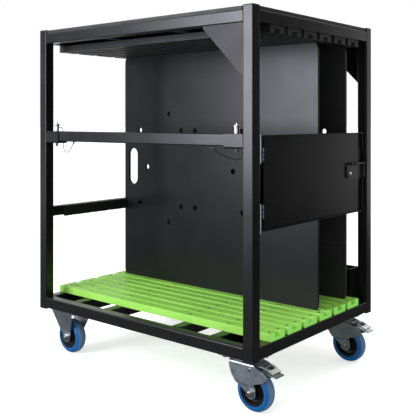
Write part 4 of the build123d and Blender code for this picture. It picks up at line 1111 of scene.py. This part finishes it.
def bead_tree():
    plan = Grower("weld_beads", **BEAD_SIZES)
    given = plan.given
    line = plan.add("GeometryNodeMeshToCurve", Mesh=given["Geometry"])
    fine = plan.add("GeometryNodeResampleCurve", {"mode": "LENGTH"}, Curve=line, Length=given["Step"])
    place = plan.node("GeometryNodeSplineParameter").outputs
    phase = plan.sum("DIVIDE", plan.sum("MULTIPLY", place["Length"], math.tau), given["Ripple pitch"])
    swell = plan.sum("MULTIPLY", plan.sum("SINE", phase), given["Ripple"])
    uneven = plan.sum("ADD", plan.sum("ADD", swell, 1.0), plan.chance(-UNEVEN, UNEVEN))
    from_middle = plan.sum("ABSOLUTE", plan.sum("SUBTRACT", place["Factor"], 0.5))
    taper = plan.ramp(plan.sum("SUBTRACT", 0.5, from_middle), 0.0, END_SHARE, To_Min=END_SIZE)
    size = plan.sum("MULTIPLY", plan.sum("MULTIPLY", uneven, taper), given["Bead radius"])
    circle = plan.add("GeometryNodeCurvePrimitiveCircle", {"mode": "RADIUS"}, Resolution=BEAD_SIDES,
                      Radius=1.0)
    worm = plan.add("GeometryNodeCurveToMesh", Curve=fine, Profile_Curve=circle, Scale=size,
                    Fill_Caps=True)
    return plan.end(plan.add("GeometryNodeSetShadeSmooth", Geometry=worm))


BEAD_TREE = bead_tree()
print("bead tree with", len(BEAD_TREE.nodes), "nodes")

# %% [markdown]
# Where the beads run
# At each end of a rail there are four short joints: the groove on the outer face, the lines above
# and below, and the inner corner that two rails share. They could be drawn by hand, but the boxes
# of the rails already say where they are. Beads on outer faces lie low in their groove, since a
# welder grinds them flush there.

# %% Joints of the rails
GROOVE_SINK = 2.1 * MM
BEAD_OFF = 0.4 * MM
RUN_IN = 2.0 * MM
TUBE = 30.0 * MM
MID_HEIGHT = (cad_low[2] + cad_high[2]) / 2
# The parts bin fills the lower corner at the rear right, and the beads there start behind it.
BIN_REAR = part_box("parts_bin")[1][1]


def rail_joints():
    """Joints between the posts and the rails, as pairs of points about the frame's middle."""
    joints = []
    post_x = FRAME_HALF_LENGTH - TUBE
    post_y = FRAME_HALF_WIDTH - TUBE
    outer_x = FRAME_HALF_LENGTH - GROOVE_SINK
    outer_y = FRAME_HALF_WIDTH - GROOVE_SINK
    for level in ("bottom_rail_right", "top_rail_right"):
        low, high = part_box(level)
        bottom = low[2]
        top = high[2]
        for sx in (-1, 1):
            for sy in (-1, 1):
                inner = (sx * (post_x - BEAD_OFF), sy * (post_y - BEAD_OFF))
                uprights = (
                    (sx * (post_x + 2 * BEAD_OFF), sy * outer_y),
                    (sx * outer_x, sy * (post_y + 2 * BEAD_OFF)),
                    inner,
                )
                joints += [((x, y, bottom + RUN_IN), (x, y, top - RUN_IN)) for x, y in uprights]
                for z in (bottom - BEAD_OFF, top + BEAD_OFF):
                    near_y = post_y + RUN_IN
                    if (sx, sy) == (1, 1) and z < MID_HEIGHT:
                        near_y = BIN_REAR + RUN_IN
                    across = (sy * near_y, sy * (outer_y - RUN_IN))
                    along = (sx * (post_x + RUN_IN), sx * (outer_x - RUN_IN))
                    joints.append(((inner[0], across[0], z), (inner[0], across[1], z)))
                    joints.append(((along[0], inner[1], z), (along[1], inner[1], z)))
    return joints


print(len(rail_joints()), "joints of the rails")

# %% [markdown]
# The other joints of the frame
# The left rail, the saddles of the front bar and the gussets are welded on as well. The rail has a
# bead on each of its four sides, a saddle one in front and one below, and a gusset only short
# runs, because a thin plate would warp under a long one.

# %% Joints of the left rail, the saddles and the gussets
GUSSET_BACK = 6.0 * MM
GUSSET_BEADS = (0.18, 0.62)


def left_rail_joints():
    low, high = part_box("left_rail")
    left = low[0] - FRAME_MIDDLE
    right = high[0] - FRAME_MIDDLE
    joints = []
    for side in (-1, 1):
        y = side * (high[1] - BEAD_OFF)
        for x in (left + GROOVE_SINK, right + BEAD_OFF):
            joints.append(((x, y, low[2] + RUN_IN), (x, y, high[2] - RUN_IN)))
        for z in (low[2] - BEAD_OFF, high[2] + BEAD_OFF):
            joints.append(((left + RUN_IN, y, z), (right - RUN_IN, y, z)))
    return joints


def saddle_joints():
    low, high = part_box("bar_saddles")
    front = low[1] + GROOVE_SINK
    under = low[2] - BEAD_OFF
    joints = []
    for side in (-1, 1):
        x = side * (FRAME_HALF_LENGTH - TUBE + BEAD_OFF)
        joints.append(((x, front, low[2] + RUN_IN), (x, front, high[2] - RUN_IN)))
        joints.append(((x, low[1] + RUN_IN, under), (x, low[1] + TUBE - RUN_IN, under)))
    return joints


def gusset_joints():
    low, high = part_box("gussets")
    left = low[0] - FRAME_MIDDLE
    right = high[0] - FRAME_MIDDLE
    joints = []
    for side in (-1, 1):
        y = side * (FRAME_HALF_WIDTH - GUSSET_BACK - BEAD_OFF)
        for share in GUSSET_BEADS:
            start = left + (right - left) * share
            joints.append(((start, y, high[2] - BEAD_OFF), (start + TUBE, y, high[2] - BEAD_OFF)))
            foot = low[2] + (high[2] - low[2]) * share
            joints.append(((right - BEAD_OFF, y, foot), (right - BEAD_OFF, y, foot + TUBE)))
    return joints


other_joints = left_rail_joints() + saddle_joints() + gusset_joints()
print(len(other_joints), "other joints of the frame")

# %% [markdown]
# Laying the beads
# All joints go into one seed mesh, with an edge for each. A mesh for each joint would do as well,
# but this way one run of the tree lays them all, and the beads of the frame are one piece.

# %% Weld beads on the frame
def lay_beads(name, joints, values):
    """Beads along pairs of points that are given about the frame's middle."""
    places = []
    edges = []
    for pair in joints:
        edges.append((len(places), len(places) + 1))
        places += [(FRAME_MIDDLE + x, y, z) for x, y, z in pair]
    seed_mesh = bpy.data.meshes.new(name)
    seed_mesh.from_pydata(places, edges, [])
    piece = grow(name, seed_mesh, BEAD_TREE, values)
    print(name, "has", len(joints), "beads with", len(piece.data.polygons), "faces")
    return piece


beads = lay_beads("weld_beads", rail_joints() + other_joints, {"Seed": 5, "Material": FRAME_PAINT})
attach(beads, "chassis")

# %% [markdown]
# Welds of the gate's hinges
# Each hinge leaf is held to the gate's lip by a few short tacks. They are coarser than the beads
# of the frame and were left bare, so they shine. The same tree lays them, with other sizes.

# %% Tacks on the gate
LEAF_LENGTH = 33.0 * MM
LEAF_PROUD = 2.6 * MM
TACK_BACK = 4.0 * MM
TACKS = ((0.04, 0.30), (0.36, 0.66), (0.74, 0.98))
TACK_SIZES = {"Bead radius": 1.7 * MM, "Ripple": 0.32, "Ripple pitch": 4.6 * MM, "Seed": 8}


def tack_joints():
    """Short runs over the end of each leaf, where it meets the lip of the gate."""
    low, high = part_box("gate_hinge_leaves")
    _, gate_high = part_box("gate_panel")
    x = gate_high[0] - FRAME_MIDDLE + LEAF_PROUD
    y = high[1] - TACK_BACK
    joints = []
    for foot in (low[2], high[2] - LEAF_LENGTH):
        joints += [tuple((x, y, foot + share * LEAF_LENGTH) for share in tack) for tack in TACKS]
    return joints


tacks = lay_beads("gate_tacks", tack_joints(), {**TACK_SIZES, "Material": ZINC})
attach(tacks, "gate")

# %% [markdown]
# Quick-release pins
# Each pin is turned from one bar and nickel plated: a shaft with a rounded nose, a grooved body,
# a wider cap and a small button on top. A turned part is one outline, so the lathe makes it, and
# the small chamfers are what catch the light.

# %% Turned pins
PIN_SEGMENTS = 40
PIN_OUTLINE = (
    (0.0, 0.0), (2.4, 0.0), (3.4, 0.5), (4.0, 1.6), (4.0, 45.3),
    (5.9, 45.3), (6.5, 45.9), (6.5, 48.6), (6.1, 49.0), (6.1, 49.8), (6.5, 50.2),
    (6.5, 61.2), (6.0, 61.8), (7.2, 61.8), (7.8, 62.4), (7.8, 65.9), (7.0, 66.8),
    (3.2, 66.8), (2.7, 67.3), (2.7, 70.4), (2.1, 71.4), (1.1, 71.8), (0.0, 71.8),
)


def turned_pin(side):
    node = "pin_" + side
    low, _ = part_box(node)
    x, y, _ = middle_of(node)
    outline = [(radius * MM, height * MM) for radius, height in PIN_OUTLINE]
    piece = lathe("turned_" + node, outline, (x, y, low[2]), (0, 0, 1), PIN_SEGMENTS, BRIGHT_STEEL)
    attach(piece, node)
    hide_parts(node)
    return piece


for side in ("left", "right"):
    piece = turned_pin(side)
    print(piece.name, "height", round((box_of(piece)[1][2] - box_of(piece)[0][2]) * 1000, 2), "mm")

# %% [markdown]
# Moulded wheel centres
# The nylon centre of a wheel is not a plain disc: the hub tapers to the web, a low ring stiffens
# the web, and the band under the tyre has a small step. These concentric rings show as thin lines
# of light. The outline below is one half, and its mirror image makes the other side.

# %% Wheel centres
RIM_SEGMENTS = 64
RIM_SHARP = 28.0
RIM_HALF = (
    (5.05, 0.0), (5.05, 19.6), (5.5, 20.0), (10.6, 20.0), (11.4, 19.4), (12.6, 11.0),
    (13.6, 7.6), (15.2, 6.0), (18.6, 5.2), (19.4, 7.2), (21.4, 7.2), (22.2, 5.2),
    (26.4, 6.0), (28.0, 8.0), (28.8, 14.0), (29.6, 15.0), (31.4, 15.0), (31.9, 16.4),
    (32.6, 17.0), (34.4, 17.0), (35.0, 16.4), (35.0, 0.0),
)


def wheel_centre(wheel):
    node = "rim_" + wheel
    other = [(radius, -across) for radius, across in reversed(RIM_HALF[1:-1])]
    outline = [(radius * MM, across * MM) for radius, across in (*RIM_HALF, *other)]
    piece = lathe("moulded_" + node, outline, middle_of(node), (0, 1, 0), RIM_SEGMENTS, RIM_BLACK,
                  ring=True, sharp_angle=RIM_SHARP)
    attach(piece, "wheel_" + wheel)
    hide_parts(node)
    return piece


for wheel in WHEELS:
    piece = wheel_centre(wheel)
    print(piece.name, "with", len(piece.data.polygons), "faces")

# %% [markdown]
# The stage
# A wide pale floor, and a white room all round. The world is white to the camera and in mirrors,
# and a little dimmer as a light. The floor gets a little light of its own for the camera and for
# mirrors, so that it runs into the white room without a line and its shadow stays soft.

# %% Floor and world
WHITE = (1.0, 1.0, 1.0, 1.0)
FLOOR_HALF = 60.0
FLOOR_COLOUR = (0.86, 0.86, 0.86, 1.0)
FLOOR_LIFT = 0.55
ROOM_LIGHT = 0.86


def flat_sheet(name, corners, material):
    mesh = bpy.data.meshes.new(name)
    mesh.from_pydata(corners, [], [range(len(corners))])
    mesh.materials.append(material)
    sheet = add_object(name, mesh)
    return sheet


def seen_rays(network):
    """One for rays from the camera, and for those that a mirror or a clear piece passes on."""
    rays = network.node("ShaderNodeLightPath").outputs
    passed_on = network.sum("MAXIMUM", rays["Is Glossy Ray"], rays["Is Transmission Ray"])
    return network.sum("MAXIMUM", rays["Is Camera Ray"], passed_on)


def pale_floor():
    paint = Finish("studio_floor")
    paint.give(Base_Color=FLOOR_COLOUR, Roughness=0.9, Specular_IOR_Level=0.1, Emission_Color=WHITE)
    paint.give(Emission_Strength=paint.sum("MULTIPLY", seen_rays(paint), FLOOR_LIFT))
    corners = [(x * FLOOR_HALF, y * FLOOR_HALF, 0) for x, y in ((-1, -1), (1, -1), (1, 1), (-1, 1))]
    return flat_sheet("studio_floor", corners, paint.material)


def white_room():
    world = bpy.data.worlds.new("white_room")
    bpy.context.scene.world = world
    world.use_nodes = True
    world.node_tree.nodes.clear()
    room = Network(world.node_tree)
    light = room.add("ShaderNodeBackground", Color=WHITE, Strength=ROOM_LIGHT)
    white = room.add("ShaderNodeBackground", Color=WHITE, Strength=1.0)
    choose = room.add("ShaderNodeMixShader", terms=(seen_rays(room), light, white))
    room.node("ShaderNodeOutputWorld", Surface=choose)


pale_floor()
white_room()
print("floor and room ready")

# %% [markdown]
# Dark cards
# A shiny black coat mirrors whatever stands around it, and in a white room it turns grey. So a
# photographer hangs dark cards where its sides would mirror the walls, out of the picture. One
# stands close to the right side, and one at the far left behind the main lamp. Two grey ones lie
# on the floor: a darker one in front and at the right, a paler one under the trolley and behind.
# They are only seen in mirrors, so they take no light away and cast no shadow.

# %% Dark cards
BLACK_FELT = 0.02
DARK_FELT = 0.10
GREY_FELT = 0.20
CARD_LIFT = 2.0 * MM
CARD_LEFT = -3.0
CARD_RIGHT = 1.7
CARD_FRONT = -3.4
CARD_BACK = 2.85
UNDER_RIGHT = 0.42
UNDER_FRONT = -0.30
RIGHT_CARD = ((1.0, -0.8), (1.0, 1.42))
RIGHT_CARD_HEIGHT = 1.7
LEFT_CARD = ((-5.2, CARD_FRONT), (0.6, CARD_FRONT))
LEFT_CARD_HEIGHT = 2.6
FLOOR_CARD_X = (CARD_LEFT, CARD_RIGHT, CARD_RIGHT, UNDER_RIGHT, UNDER_RIGHT, CARD_LEFT)
FLOOR_CARD_Y = (CARD_FRONT, CARD_FRONT, CARD_BACK, CARD_BACK, UNDER_FRONT, UNDER_FRONT)
UNDER_CARD_X = (CARD_LEFT, UNDER_RIGHT, UNDER_RIGHT, CARD_LEFT)
UNDER_CARD_Y = (UNDER_FRONT, UNDER_FRONT, CARD_BACK, CARD_BACK)


def upright(start, end, height):
    """The corners of a sheet that stands on the line from start to end."""
    return [(*start, 0.0), (*end, 0.0), (*end, height), (*start, height)]


def lying(along, across):
    """The corners of a sheet that lies just over the floor."""
    return [(x, y, CARD_LIFT) for x, y in zip(along, across)]


def dark_card(name, tone, corners):
    felt = Finish(name)
    felt.give(Base_Color=(tone, tone, tone, 1.0), Roughness=1.0, Specular_IOR_Level=0.0)
    card = flat_sheet(name, corners, felt.material)
    card.visible_camera = False
    card.visible_diffuse = False
    card.visible_shadow = False
    return card


cards = [
    dark_card("right_card", BLACK_FELT, upright(*RIGHT_CARD, RIGHT_CARD_HEIGHT)),
    dark_card("left_card", BLACK_FELT, upright(*LEFT_CARD, LEFT_CARD_HEIGHT)),
    dark_card("floor_card", DARK_FELT, lying(FLOOR_CARD_X, FLOOR_CARD_Y)),
    dark_card("under_card", GREY_FELT, lying(UNDER_CARD_X, UNDER_CARD_Y)),
]
print("cards", [card.name for card in cards])

# %% [markdown]
# Lamps
# The main lamp is a tall soft box to the left of the camera. Its reflection makes the front of
# the near post pale at the top and dark at the foot, so it hangs high enough for the lower half
# of the post to miss it. A wide soft lamp above lifts the tops of the rails.

# %% Lamps
COOL_WHITE = (0.865, 0.90, 1.0)


def soft_lamp(name, place, aim, size, power, colour):
    lamp = bpy.data.lights.new(name, "AREA")
    lamp.shape = "RECTANGLE"
    lamp.size, lamp.size_y = size
    lamp.energy = power
    lamp.color = colour
    holder = add_object(name, lamp)
    holder.location = place
    direction = Vector(aim) - Vector(place)
    holder.rotation_euler = direction.to_track_quat("-Z", "Y").to_euler()
    holder.visible_camera = False


soft_lamp("left_soft_box", place=(-1.05, -2.65, 1.28), aim=(-0.2, 0.0, 1.1), size=(1.22, 1.75),
          power=82.0, colour=COOL_WHITE)
soft_lamp("overhead", place=(0.2, -0.4, 3.2), aim=(0.0, 0.0, 0.0), size=(2.4, 2.0),
          power=26.0, colour=WHITE[:3])
bpy.context.scene.view_settings.view_transform = "Standard"
print("lamps", [lamp.name for lamp in bpy.data.lights])
